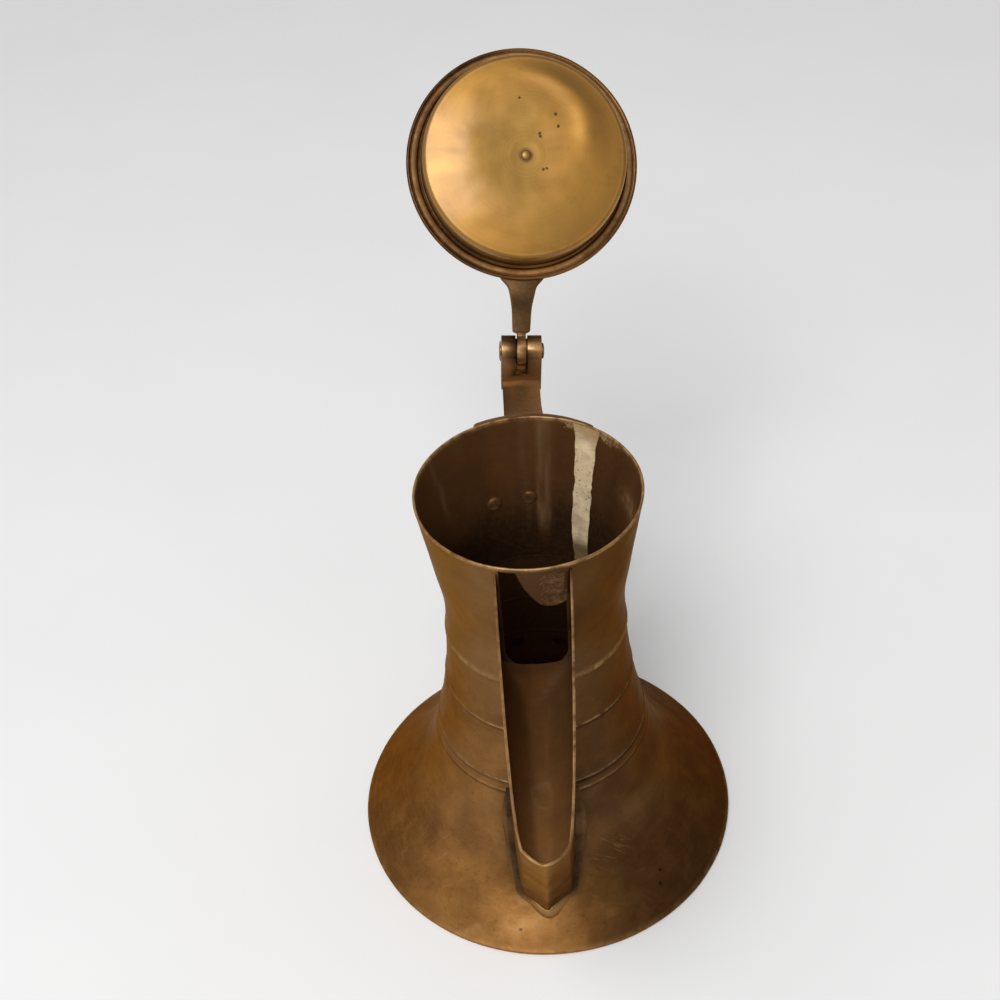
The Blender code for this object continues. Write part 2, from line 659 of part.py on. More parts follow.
def handle_line(steps):
    """Centre line of the handle in the YZ plane, from the top plate to the foot plate."""
    top, low = HANDLE_TOP_HEIGHT, HANDLE_BOTTOM_HEIGHT
    inner = pot_radius(top) - HANDLE_ROOT
    foot = pot_radius(low) - HANDLE_ROOT
    tall = top - low
    knots = [(inner, top), (inner + 0.35 * (HANDLE_REACH - inner), top + 0.09 * tall),
             (inner + 0.78 * (HANDLE_REACH - inner), top + 0.02 * tall),
             (HANDLE_REACH, top - 0.30 * tall), (0.95 * HANDLE_REACH, top - 0.56 * tall),
             (lerp(HANDLE_REACH, foot, 0.48), top - 0.83 * tall), (foot, low)]
    places = [i / (len(knots) - 1) for i in range(len(knots))]
    line = []
    for i in range(steps + 1):
        t = i / steps
        line.append(Vector((0.0, smooth_through([(p, k[0]) for p, k in zip(places, knots)], t),
                            smooth_through([(p, k[1]) for p, k in zip(places, knots)], t))))
    return line


def make_handle(look):
    steps = 22
    line = handle_line(steps)
    across = Vector((1.0, 0.0, 0.0))
    sections = []
    for i, centre in enumerate(line):
        ahead = line[min(i + 1, steps)] - line[max(i - 1, 0)]
        normal = ahead.normalized().cross(across)
        swell = 0.80 + 0.20 * sin(pi * i / steps)
        ring = arc((0.0, 0.0), 1.0, 0.0, 2 * pi, 12)[:-1]
        sections.append([centre + across * (0.5 * HANDLE_WIDTH * swell * a)
                         + normal * (0.5 * HANDLE_DEPTH * swell * b) for a, b in ring])
    handle = loft("handle", sections, look, radians(60.0))
    boolean(handle, pot_core("handle_trim", 2 * FIT + PLATE_THICKNESS))
    return boolean(handle, rivet_hole("handle_hole", 0.0, HANDLE_TOP_HEIGHT))


def make_top_plate(look):
    plate = wall_patch("handle_top_plate", HANDLE_TOP_HEIGHT - TOP_PLATE_HALF_HEIGHT,
                       HANDLE_TOP_HEIGHT + TOP_PLATE_HALF_HEIGHT, FIT, PLATE_THICKNESS,
                       BACK - TOP_PLATE_SPAN, 2 * TOP_PLATE_SPAN, 8, look)
    return drill(plate, TOP_RIVETS, HANDLE_TOP_HEIGHT)


def make_foot_plate(look):
    plate = wall_patch("handle_foot_plate", HANDLE_BOTTOM_HEIGHT - FOOT_PLATE_HALF_HEIGHT,
                       HANDLE_BOTTOM_HEIGHT + FOOT_PLATE_HALF_HEIGHT, FIT, PLATE_THICKNESS,
                       BACK - FOOT_PLATE_SPAN, 2 * FOOT_PLATE_SPAN, 4, look)
    return drill(plate, FOOT_RIVETS, HANDLE_BOTTOM_HEIGHT)


TOP_RIVETS = (TOP_RIVET_ANGLE, 0.0)
FOOT_RIVETS = (-FOOT_RIVET_ANGLE, FOOT_RIVET_ANGLE)


def rivet_place(angle, height):
    """Frame with its X axis pointing out of the pot's wall, turned from the back."""
    return Matrix.Translation((0, 0, height)) @ Matrix.Rotation(BACK - angle, 4, "Z")


def rivet_hole(name, angle, height):
    bm = bmesh.new()
    bmesh.ops.create_cone(bm, cap_ends=True, segments=RIVET_STEPS, radius1=RIVET_RADIUS + FIT,
                          radius2=RIVET_RADIUS + FIT, depth=1.4 * CUT_REACH)
    lie = Matrix.Translation((pot_radius(height), 0, 0)) @ Matrix.Rotation(BACK, 4, "Y")
    bmesh.ops.transform(bm, matrix=rivet_place(angle, height) @ lie, verts=bm.verts)
    return as_cutter(finish_object(name, bm, None))


def drill(made, angles, height):
    for i, angle in enumerate(angles):
        boolean(made, rivet_hole(f"{made.name}_hole_{i}", angle, height))
    return made


def make_rivet(name, angle, height, wall, look, headed=True):
    """One rivet: head inside the pot, shank through wall and plate, head or plain end outside."""
    rims = [pot_radius(height + side * RIVET_HEAD_RADIUS) for side in (-1, 1)]
    inner = (min(rims) - wall) * cos(pi / ROUND_STEPS) - FIT
    inner -= RIVET_HEAD_RADIUS ** 2 / (2 * inner)
    outer = max(rims) + PLATE_THICKNESS + 2 * FIT
    if not headed:
        outer += RIVET_BLIND_DEPTH
    profile = [(0.0, inner - RIVET_HEAD_HEIGHT),
               (0.65 * RIVET_HEAD_RADIUS, inner - 0.85 * RIVET_HEAD_HEIGHT),
               (RIVET_HEAD_RADIUS, inner), (RIVET_RADIUS, inner), (RIVET_RADIUS, outer)]
    if headed:
        profile += [(RIVET_HEAD_RADIUS, outer),
                    (0.65 * RIVET_HEAD_RADIUS, outer + 0.85 * RIVET_HEAD_HEIGHT),
                    (0.0, outer + RIVET_HEAD_HEIGHT)]
    else:
        profile += [(0.0, outer)]
    made = lathe(name, profile[::-1], look, steps=RIVET_STEPS)
    made.data.transform(rivet_place(angle, height) @ Matrix.Rotation(BACK, 4, "Y"))
    return made


def open_lid(pieces):
    """Hang the lid's pieces on an empty at the pin and swing them open."""
    axis = bpy.data.objects.new("lid_hinge_axis", None)
    bpy.context.scene.collection.objects.link(axis)
    axis.matrix_world = (Matrix.Translation(PIN_CENTRE)
                         @ Matrix.Rotation(-LID_OPEN_ANGLE, 4, PIN_AXIS))
    for piece in pieces:
        for made in [piece] + [step.object for step in piece.modifiers]:
            made.data.transform(Matrix.Translation(-PIN_CENTRE))
            made.parent = axis


def main():
    clear_scene()
    patina = material("patinated_brass", (0.19, 0.085, 0.030), 0.42)
    inner = material("dull_brass", (0.12, 0.055, 0.020), 0.50)
    polished = material("polished_brass", (0.45, 0.25, 0.065), 0.28)
    cast = material("cast_brass", (0.16, 0.075, 0.028), 0.45)
    tin = material("tin_solder", (0.42, 0.36, 0.27), 0.55)

    body = make_body(patina)
    drill(body, FOOT_RIVETS, HANDLE_BOTTOM_HEIGHT)
    neck = make_neck(patina)
    drill(neck, TOP_RIVETS, HANDLE_TOP_HEIGHT)
    make_base(inner)
    make_base_solder(tin)
    make_seam(tin)
    make_spout(patina)
    make_spout_floor(inner)
    make_spout_solder(tin)
    make_strap(cast)
    make_bracket(cast)
    make_pin(polished)
    make_handle(cast)
    make_top_plate(cast)
    make_foot_plate(cast)
    top, foot = HANDLE_TOP_HEIGHT, HANDLE_BOTTOM_HEIGHT
    make_rivet("top_rivet_side", TOP_RIVETS[0], top, NECK_WALL, polished)
    make_rivet("top_rivet_centre", TOP_RIVETS[1], top, NECK_WALL, polished, headed=False)
    make_rivet("foot_rivet_left", FOOT_RIVETS[0], foot, BODY_WALL, polished)
    make_rivet("foot_rivet_right", FOOT_RIVETS[1], foot, BODY_WALL, polished)
    open_lid([make_dome(patina), make_plug(polished), make_finial_collar(cast),
              make_finial(polished), make_lid_arm(cast)])


main()
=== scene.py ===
"""Looks of a brass coffee pot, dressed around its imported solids.

Metres, +Z up, the spout towards -Y and the handle towards +Y. The lid's pieces are
drawn closed, in the pot's own frame, and are then turned open about the hinge pin.
"""
import json
from math import atan2, copysign, cos, exp, hypot, pi, radians, sin, sqrt

import bmesh
import bpy
from mathutils import Matrix, Vector, noise


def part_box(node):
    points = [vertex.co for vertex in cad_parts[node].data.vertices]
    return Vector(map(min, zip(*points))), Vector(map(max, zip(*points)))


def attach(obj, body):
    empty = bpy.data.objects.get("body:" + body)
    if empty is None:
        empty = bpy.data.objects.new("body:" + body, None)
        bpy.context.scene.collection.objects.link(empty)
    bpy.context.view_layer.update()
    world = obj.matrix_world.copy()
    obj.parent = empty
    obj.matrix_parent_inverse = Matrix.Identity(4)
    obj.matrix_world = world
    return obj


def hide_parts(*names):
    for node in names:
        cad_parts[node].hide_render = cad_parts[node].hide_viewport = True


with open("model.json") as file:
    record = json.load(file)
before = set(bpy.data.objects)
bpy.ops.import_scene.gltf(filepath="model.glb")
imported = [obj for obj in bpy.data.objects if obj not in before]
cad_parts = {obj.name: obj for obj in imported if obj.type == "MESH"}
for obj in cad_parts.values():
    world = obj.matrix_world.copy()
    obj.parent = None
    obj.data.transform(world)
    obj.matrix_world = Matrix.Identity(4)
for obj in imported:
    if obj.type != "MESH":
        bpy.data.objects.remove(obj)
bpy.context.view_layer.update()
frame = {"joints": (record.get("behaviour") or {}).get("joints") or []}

BACK = pi / 2
UP = Vector((0.0, 0.0, 1.0))

# Camera, fitted to the rim, base and grooves in the photograph
LENS = 54.0
SENSOR = 36.0
CAMERA_OUT = 0.4342
CAMERA_HEIGHT = 0.5769
CAMERA_PITCH = radians(41.81)
CAMERA_YAW = radians(1.46)
CAMERA_ROLL = radians(-4.55)
CAMERA_TURN = radians(0.65)

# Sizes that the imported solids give
BASE_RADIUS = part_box("body_shell")[1].x
JOINT_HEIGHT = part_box("body_shell")[1].z
RIM_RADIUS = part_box("neck")[1].x
RIM_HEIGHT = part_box("neck")[1].z
HINGE = frame["joints"][0]
PIN = Vector(HINGE["pos_m"])
PIN_AXIS = Vector(HINGE["axis"]).normalized()
OPEN_ANGLE = radians(HINGE["range_deg"][1])

# Round outline of the pot, as (height, radius) stations
FOOT_LAND = 0.0018
FOOT_ROUND = 0.0006
WAIST = 0.1390
OUTLINE = ((FOOT_LAND, BASE_RADIUS), (0.0315, 0.0580), (0.0658, 0.0458), (0.0937, 0.0403),
           (JOINT_HEIGHT, 0.0378), (WAIST, 0.0373), (0.1600, 0.0400), (RIM_HEIGHT, RIM_RADIUS))
BODY_WALL = 0.0012
NECK_WALL = 0.0010
GROOVES = ((0.0610, 0.00016), (0.0658, 0.00045), (0.0937, 0.00040))
GROOVE_WIDTH = 0.0006
LAP = 0.0005

# Window and flap
WINDOW_HALF = 0.0124
WINDOW_SILL = 0.1315
WINDOW_CORNER = 0.0080
RIM_BRIDGE = 0.0022
FLAP_DROP = 0.0215
FLAP_START = 0.0060

# Spout
SPOUT_WALL = 0.0014
SPOUT_FOOT = (0.0720, 0.0135)
SPOUT_BEND = (0.0975, 0.0800)
SPOUT_TIP = (0.1535, 0.1665)
SPOUT_HALF = 0.0150
SPOUT_BACK = 0.0300
SPOUT_FOOT_SHIFT = -0.0018
CHINE_AT_FOOT = 0.0105
CHINE_AT_TIP = 0.0076
PROW_SWEEP = 0.75
PROW_BLUNTNESS = 1.9
LIP_AT_NECK = 0.1890
FLOOR_END_DROP = 0.0030
LIP_THICKNESS = 0.0009
SOLDER_TOP = 0.0640

# Play between pieces that touch, and how far a piece sinks into the wall that carries it
FIT = 0.0003
SINK = 0.0001


def lerp(a, b, share):
    return a + (b - a) * share


def spaced(low, high, count):
    """Evenly spaced values, both ends included."""
    return [lerp(low, high, i / count) for i in range(count + 1)]


def shares(count):
    return spaced(0.0, 1.0, count)


def step(low, high, value):
    """0 below low and 1 above high, smooth between them."""
    t = min(max((value - low) / (high - low), 0.0), 1.0)
    return t * t * (3.0 - 2.0 * t)


def band(value, low, full, end, high):
    """1 from full to end, and smoothly down to 0 at low and at high."""
    return step(low, full, value) * step(high, end, value)


def bell(value, centre, width):
    return exp(-((value - centre) / width) ** 2)


def rough(place, scale, seed=0.0):
    """Soft noise between -1 and 1."""
    return noise.noise(Vector(place) * scale + Vector((seed, 3.1 * seed, -seed)))


def round_turns(count):
    """Angles that go once round, without the last, which is the first again."""
    return spaced(0.0, 2 * pi, count)[:-1]


def arc(centre, radius, first, last, steps):
    return [(centre[0] + radius * cos(t), centre[1] + radius * sin(t))
            for t in spaced(first, last, steps)]


def smooth_through(stations, at):
    """Smooth curve through (position, value) stations, read at one position."""
    spots = [spot for spot, _ in stations]
    values = [value for _, value in stations]
    last = len(stations) - 1
    chords = [(values[i + 1] - values[i]) / (spots[i + 1] - spots[i]) for i in range(last)]
    slopes = [chords[0]]
    for i in range(1, last):
        left = spots[i] - spots[i - 1]
        right = spots[i + 1] - spots[i]
        slopes.append((chords[i - 1] * right + chords[i] * left) / (left + right))
    slopes.append(chords[-1])
    slopes[0] = 1.5 * chords[0] - 0.5 * slopes[1]
    slopes[-1] = 1.5 * chords[-1] - 0.5 * slopes[-2]
    i = 0
    while i < last - 1 and at > spots[i + 1]:
        i += 1
    width = spots[i + 1] - spots[i]
    t = (at - spots[i]) / width
    return (values[i] * (1 + 2 * t) * (1 - t) ** 2 + slopes[i] * width * t * (1 - t) ** 2
            + values[i + 1] * t * t * (3 - 2 * t) + slopes[i + 1] * width * t * t * (t - 1))


def curve_through(knots, t):
    """Point at t, from 0 to 1, on a smooth curve through evenly spaced knots."""
    return [smooth_through(list(zip(shares(len(knots) - 1), values)), t) for values in zip(*knots)]


def about_pin(angle, axis):
    return Matrix.Translation(PIN) @ Matrix.Rotation(angle, 4, axis) @ Matrix.Translation(-PIN)


# Mesh tools


SHARP_ANGLE = 40.0


def grid_mesh(name, rows, around=False, capped=False, sharp=SHARP_ANGLE):
    """Skin rows of points. Rows may close round, and the first and last may be capped."""
    bm = bmesh.new()
    grid = [[bm.verts.new(point) for point in row] for row in rows]
    count = len(grid[0])
    for low, high in zip(grid, grid[1:]):
        for i in range(count if around else count - 1):
            j = (i + 1) % count
            bm.faces.new((low[i], low[j], high[j], high[i]))
    if capped:
        bm.faces.new(grid[0])
        bm.faces.new(grid[-1])
    bmesh.ops.remove_doubles(bm, verts=bm.verts, dist=1e-7)
    bmesh.ops.dissolve_degenerate(bm, dist=1e-7, edges=bm.edges)
    bmesh.ops.recalc_face_normals(bm, faces=bm.faces)
    mesh = bpy.data.meshes.new(name)
    bm.to_mesh(mesh)
    bm.free()
    soften(mesh, sharp)
    made = bpy.data.objects.new(name, mesh)
    bpy.context.scene.collection.objects.link(made)
    return made


def rod(name, rows, sharp=SHARP_ANGLE):
    """Solid through rows of points that each go once round."""
    return grid_mesh(name, rows, True, True, sharp)


def lathe(name, profile, steps=192, closed=True, warp=None):
    """Turn (radius, height) points about Z. closed joins the last point to the first."""
    rows = [[Vector((radius * cos(t), radius * sin(t), height)) for t in round_turns(steps)]
            for radius, height in profile]
    if warp:
        rows = [[warp(point) for point in row] for row in rows]
    if closed:
        rows.append(rows[0])
    return grid_mesh(name, rows, around=True)


def cap_holes(made):
    bm = bmesh.new()
    bm.from_mesh(made.data)
    bmesh.ops.holes_fill(bm, edges=[e for e in bm.edges if e.is_boundary])
    bmesh.ops.recalc_face_normals(bm, faces=bm.faces)
    bm.to_mesh(made.data)
    bm.free()


def prism(name, outline, low, high, along_y=False):
    """Extrude an outline of (a, b) points along X or Y between two places."""
    rows = [[(a, side, b) if along_y else (side, a, b) for a, b in outline] for side in (low, high)]
    return rod(name, rows)


def soften(mesh, sharp=SHARP_ANGLE):
    mesh.shade_smooth()
    mesh.set_sharp_from_angle(angle=radians(sharp))


def settle(made):
    """Apply an object's modifiers to its mesh."""
    evaluated = made.evaluated_get(bpy.context.evaluated_depsgraph_get())
    mesh = bpy.data.meshes.new_from_object(evaluated)
    made.modifiers.clear()
    made.data = mesh
    soften(mesh)


def boolean(target, other, operation="DIFFERENCE"):
    """Cut or join with another object, which is then gone."""
    modifier = target.modifiers.new("cut", "BOOLEAN")
    modifier.operation = operation
    modifier.solver = "EXACT"
    modifier.object = other
    settle(target)
    bpy.data.objects.remove(other, do_unlink=True)


def bevel(made, width, segments=2, angle=35.0):
    modifier = made.modifiers.new("soft_edges", "BEVEL")
    modifier.width = width
    modifier.segments = segments
    modifier.limit_method = "ANGLE"
    modifier.angle_limit = radians(angle)
    settle(made)


def paint(made, name, amount):
    """Store a value for each point, which the materials read by its name."""
    layer = made.data.attributes.new(name, "FLOAT", "POINT")
    layer.data.foreach_set("value", [float(amount(v.co)) for v in made.data.vertices])


def paint_place(made):
    layer = made.data.attributes.new("made_at", "FLOAT_VECTOR", "POINT")
    layer.data.foreach_set("vector", [c for v in made.data.vertices for c in v.co])


def place(made, slot, look, node, body="pot", **painted):
    """Give a piece its paint, its material and its body, and hide the solid that it stands for."""
    for name, amount in painted.items():
        paint(made, name, amount)
    paint_place(made)
    made.data.materials.clear()
    made.data.materials.append(look)
    if body == "lid":
        made.data.transform(about_pin(-OPEN_ANGLE, PIN_AXIS))
    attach(made, body)
    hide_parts(node)


# Shapes of the pot's wall and of the spout


def pot_radius(height):
    if height <= FOOT_LAND:
        return BASE_RADIUS
    return smooth_through(OUTLINE, height)


def keel_out(height):
    """How far the spout's ridge stands out at a height."""
    (o0, z0), (o1, z1), (o2, z2) = SPOUT_FOOT, SPOUT_BEND, SPOUT_TIP
    a = z0 - 2 * z1 + z2
    b = 2 * (z1 - z0)
    c = z0 - height
    t = 2 * -c / (b + sqrt(b * b - 4 * a * c))
    return (1 - t) ** 2 * o0 + 2 * t * (1 - t) * o1 + t * t * o2


def spout_cut(height, inset):
    """Ridge, start of the side walls, chine, half width, bow, bluntness and shift of a level cut."""
    rise = min(max((height - SPOUT_FOOT[1]) / (SPOUT_TIP[1] - SPOUT_FOOT[1]), 0.0), 1.15)
    ridge = keel_out(height) - 1.10 * hypot(1.0, PROW_SWEEP) * inset
    chine = lerp(CHINE_AT_FOOT, CHINE_AT_TIP, rise) - inset
    return (ridge, ridge - PROW_SWEEP * chine, chine, SPOUT_HALF - inset, lerp(0.75, 0.5, rise),
            lerp(1.0, PROW_BLUNTNESS, rise ** 3), SPOUT_FOOT_SHIFT * (1.0 - rise))


def spout_half(out, height, inset=0.0):
    """Half width of the spout at a distance out from the axis, and the shift of its middle."""
    ridge, start, chine, half, bow, blunt, shift = spout_cut(height, inset)
    if out >= ridge:
        return 0.0, shift
    if out > start:
        return chine * ((ridge - out) / (ridge - start)) ** (1.0 / blunt), shift
    share = min((start - out) / (start - SPOUT_BACK), 1.0)
    return chine + (half - chine) * share ** bow, shift


def spout_section(height, inset, columns=22, prow=8):
    ridge, start, chine, half, bow, blunt, shift = spout_cut(height, inset)
    side = []
    for i in range(1, prow):
        side.append((chine * i / prow, -lerp(start, ridge, 1.0 - (i / prow) ** blunt)))
    for i in range(columns + 1):
        share = (i / columns) ** 2
        side.append((chine + (half - chine) * share ** bow, -lerp(start, SPOUT_BACK, share)))
    side.append((half, -SPOUT_BACK + 0.01 + inset))
    right = [(x + shift, y, height) for x, y in side]
    left = [(shift - x, y, height) for x, y in reversed(side)]
    return left + [(shift, -ridge, height)] + right


def lip_height(out):
    return lerp(LIP_AT_NECK, SPOUT_TIP[1], (out - RIM_RADIUS) / (SPOUT_TIP[0] - RIM_RADIUS))


def floor_height(out):
    share = (out - SPOUT_BACK) / (SPOUT_TIP[0] - SPOUT_BACK)
    return lerp(WINDOW_SILL, SPOUT_TIP[1] - FLOOR_END_DROP, share)


def outside_spout(place):
    """Distance from a point on the pot's wall to the spout's outer face, roughly."""
    out = -place[1]
    if out < 0:
        return 0.1
    half, shift = spout_half(out, max(place[2], SPOUT_FOOT[1] - 0.008))
    beside = abs(place[0] - shift) - half
    ridge = keel_out(max(place[2], SPOUT_FOOT[1]))
    if out > ridge:
        return hypot(max(place[0] - shift, 0.0), out - ridge)
    return beside


# Materials


class Nodes:
    """Makes the nodes of a tree and links them."""

    def __init__(self, tree):
        self.tree = tree

    def node(self, kind, settings=None, **inputs):
        made = self.tree.nodes.new(kind)
        for key, value in (settings or {}).items():
            setattr(made, key, value)
        for key, value in inputs.items():
            self.put(made.inputs[key.replace("_", " ")], value)
        return made

    def put(self, socket, value):
        if isinstance(value, bpy.types.NodeSocket):
            self.tree.links.new(value, socket)
        elif socket.type == "RGBA" and len(value) == 3:
            socket.default_value = (*value, 1.0)
        else:
            socket.default_value = value

    def span(self, value, low, high, bottom=0.0, top=1.0):
        made = self.node("ShaderNodeMapRange")
        for index, given in enumerate((value, low, high, bottom, top)):
            self.put(made.inputs[index], given)
        return made.outputs[0]


class Look(Nodes):
    """A metal built from nodes; its place is where a point is when the lid is closed."""

    def __init__(self, name, tint=None, metallic=1.0):
        self.material = bpy.data.materials.new(name)
        self.material.use_nodes = True
        super().__init__(self.material.node_tree)
        self.shader = self.tree.nodes["Principled BSDF"]
        self.shader.inputs["Metallic"].default_value = metallic
        if tint:
            self.shader.inputs["Specular Tint"].default_value = tint
        self.place = self.attribute("made_at", "Vector")

    def stretched(self, stretch, turn=(0, 0, 0)):
        made = self.node("ShaderNodeMapping", Vector=self.place, Scale=stretch, Rotation=turn)
        return made.outputs["Vector"]

    def noise(self, scale, detail=3.0, where=None, rough=0.55, twist=0.0):
        made = self.node("ShaderNodeTexNoise", Vector=where or self.place, Scale=scale, Detail=detail,
                         Roughness=rough, Distortion=twist)
        return made.outputs["Fac"]

    def math(self, operation, a, b):
        made = self.node("ShaderNodeMath", {"operation": operation})
        self.put(made.inputs[0], a)
        self.put(made.inputs[1], b)
        return made.outputs[0]

    def times(self, a, b):
        return self.math("MULTIPLY", a, b)

    def vector(self, operation, a, b, result="Vector"):
        made = self.node("ShaderNodeVectorMath", {"operation": operation})
        self.put(made.inputs[0], a)
        self.put(made.inputs[1], b)
        return made.outputs[result]

    def mix(self, share, a, b):
        made = self.node("ShaderNodeMix", {"data_type": "RGBA"})
        for index, given in ((0, share), (6, a), (7, b)):
            self.put(made.inputs[index], given)
        return made.outputs[2]

    def layers(self, base, *over):
        """Lay colours over a base, each given as (share, colour)."""
        for share, colour in over:
            base = self.mix(share, base, colour)
        return base

    def attribute(self, name, result):
        return self.node("ShaderNodeAttribute", {"attribute_name": name}).outputs[result]

    def painted(self, name):
        return self.attribute(name, "Fac")

    def marks(self, places, size, where=None):
        """1 inside ragged spots round some places."""
        nearest = 1.0
        for spot in places:
            gap = self.vector("DISTANCE", where or self.place, spot, "Value")
            nearest = self.math("MINIMUM", gap, nearest)
        edge = self.times(self.noise(900.0, 2.0, rough=0.5), 2.4 * size)
        return self.span(self.math("SUBTRACT", nearest, edge), 0.0, 0.35 * size, 1.0, 0.0)

    def scratches(self, centre, reach, turn):
        """Fine scratches that fade out at a distance from a centre."""
        gap = self.vector("DISTANCE", self.place, centre, "Value")
        fade = self.span(gap, 0.4 * reach, reach, 1.0, 0.0)
        hatch = self.stretched((120.0, 1300.0, 120.0), (0.0, 0.0, turn))
        lines = self.noise(1.0, 2.0, where=hatch, twist=0.6)
        return self.times(self.span(lines, 0.60, 0.70), fade)

    def bumps(self, *layers):
        """Bumps over one another, each given as (height, distance, strength)."""
        under = None
        for height, distance, strength in layers:
            made = self.node("ShaderNodeBump", Height=height, Distance=distance, Strength=strength)
            if under:
                self.put(made.inputs["Normal"], under)
            under = made.outputs["Normal"]
        return under

    def end(self, **inputs):
        """Feed the shader and give the finished material."""
        for key, value in inputs.items():
            self.put(self.shader.inputs[key.replace("_", " ")], value)
        return self.material


# Colours, linear
DARK = (0.080, 0.031, 0.0095)
BROWN = (0.190, 0.078, 0.023)
GOLD = (0.430, 0.205, 0.058)
BRIGHT = (0.560, 0.330, 0.140)
# Rubbed brass, also used for the painted highlight on the lid arm's tongue
RUBBED = (0.420, 0.235, 0.100)
# Brown of the painted shade on the pot's right side
AGED = (0.052, 0.022, 0.0085)
# Dark of pits and soiling, and of painted shade
GRIME = (0.030, 0.015, 0.008)
TARNISH = (0.170, 0.078, 0.029)
# Pale colour of real staining, and of painted sheen and painted reflections
STAINED = (0.275, 0.170, 0.086)
TIN = (0.480, 0.295, 0.135)
TIN_DARK = (0.190, 0.108, 0.045)
EDGE_TINT = (0.60, 0.42, 0.26, 1.0)
BEAK_TINT = (0.50, 0.35, 0.15, 1.0)
SOLDER_TAN = (0.420, 0.235, 0.085)
# Painted shade on solder deep in the mouth
SOLDER_GRIME = (0.160, 0.090, 0.028)
PAN_MIDDLE = (0.280, 0.150, 0.029), (0.245, 0.127, 0.024)
PAN_EDGES = (0.455, 0.225, 0.040), (0.410, 0.195, 0.033)
PAN_RINGS = (0.60, 0.40, 0.17)
PAN_STAIN = (0.26, 0.115, 0.027)
PAN_PIT = (0.090, 0.038, 0.012)
# Painted shade and soiling on the pan
PAN_GRIME = (0.070, 0.030, 0.011)
CAST_DARK = (0.036, 0.0165, 0.007)
CAST_MIDDLE = (0.056, 0.026, 0.011)
HAMMERED_DARK = (0.120, 0.055, 0.022)
HAMMERED_MIDDLE = (0.300, 0.150, 0.060)
PALE_SOLDER = (0.660, 0.505, 0.320), (0.940, 0.750, 0.450), (0.960, 0.810, 0.510)
# Dark old solder, darkened further as painted shade for the band along the spout's foot
OLD_SOLDER = (0.035, 0.019, 0.009), (0.075, 0.040, 0.019), (0.110, 0.060, 0.028)
FLOOR_WHITES = (0.93, 0.93, 0.93), (0.95, 0.95, 0.95)

# Dark pits on the pan and the flare, and the flare's scratches as (centre, reach, turn)
PAN_PITS = ((-0.0027, -0.0233, 0.0), (0.0120, -0.0167, 0.0), (0.0131, -0.0118, 0.0),
            (0.0058, -0.0077, 0.0), (0.0055, -0.0088, 0.0), (0.0070, 0.0057, 0.0),
            (0.0083, 0.0052, 0.0))
BODY_PITS = ((0.0480, -0.0539, 0.0141), (0.0476, -0.0583, 0.0109), (-0.0138, -0.0763, 0.0080))
SCRATCHES = (((0.0262, -0.0522, 0.0303), 0.014, -0.75), ((-0.0460, -0.0430, 0.0205), 0.024, 0.35))


def patina(name, shine=0.40, streaks=(30.0, 30.0, 1900.0), dull=0.0, edge=EDGE_TINT):
    """Worn brass: cloudy brown, rubbed gold, bright edges, tarnish, soiling and smears of tin, with
    painted shade, sheen, reflections and highlights from the painted values.
    """
    look = Look(name, edge)
    clouds = look.noise(26.0, 5.0, rough=0.6, twist=0.5)
    blots = look.noise(95.0, 5.0, rough=0.65, twist=0.3)
    fine = look.noise(420.0, 4.0, rough=0.65)
    lines = look.noise(1.0, 3.0, where=look.stretched(streaks))
    tarnish = look.math("MAXIMUM", look.painted("tarnish"), dull)
    ragged = look.math("ADD", look.painted("tin"),
                       look.span(look.noise(1100.0, 4.0), 0.3, 0.7, -0.35, 0.35))
    tin = look.span(ragged, 0.35, 0.65)
    base = look.layers(
        look.mix(look.span(clouds, 0.30, 0.70, 0.20, 0.95), DARK, BROWN),
        (look.span(blots, 0.46, 0.74, 0.0, 0.26), GOLD),
        # Rubbed gold, and on the flare's front and left also painted highlight
        (look.times(look.painted("gilt"), look.span(blots, 0.30, 0.62, 0.55, 1.0)), GOLD),
        (look.span(lines, 0.42, 0.70, 0.0, 0.12), GOLD),
        (look.span(fine, 0.56, 0.74, 0.0, 0.45), DARK),
        # Painted shade: the patina darkened on the pot's right side
        (look.times(look.painted("aged"), look.span(blots, 0.25, 0.60, 1.0, 0.80)), AGED),
        (look.times(tarnish, 0.8), look.mix(look.span(blots, 0.35, 0.65), TARNISH, BROWN)),
        *[(look.times(look.scratches(*scratch), 0.20), BRIGHT) for scratch in SCRATCHES],
        (look.marks(BODY_PITS, 0.0006), GRIME),
        # Staining on the floor and rivets; on the pot, painted sheen outside and painted reflections
        # in the mouth
        (look.painted("stain"), STAINED),
        # Soiling, and painted shade in recesses, down the mouth and on shaded sides
        (look.times(look.painted("grime"), look.span(fine, 0.2, 0.55, 0.6, 1.0)), GRIME),
        # Rubbed bright edges and rings, and painted highlight on the spout's right lip; on the flange
        # rings, dimmed on the left as painted shade
        (look.times(look.painted("wear"), look.span(look.noise(260.0), 0.30, 0.60)), BRIGHT),
        (tin, look.mix(look.span(look.noise(330.0, 4.0), 0.35, 0.65), TIN_DARK, TIN)))
    dullness = look.math("MAXIMUM", tarnish, look.times(tin, 0.6))
    roughness = look.span(look.noise(70.0, 4.0), 0.3, 0.7, shine - 0.07, shine + 0.09)
    return look.end(Base_Color=base, Metallic=look.span(dullness, 0.0, 1.0, 0.95, 0.35),
                    Roughness=look.math("ADD", roughness, look.times(tin, 0.12)),
                    Normal=look.bumps((lines, 0.00003, 0.35), (look.noise(90.0, 4.0), 0.00020, 0.5),
                                      (fine, 0.00006, 0.5)))


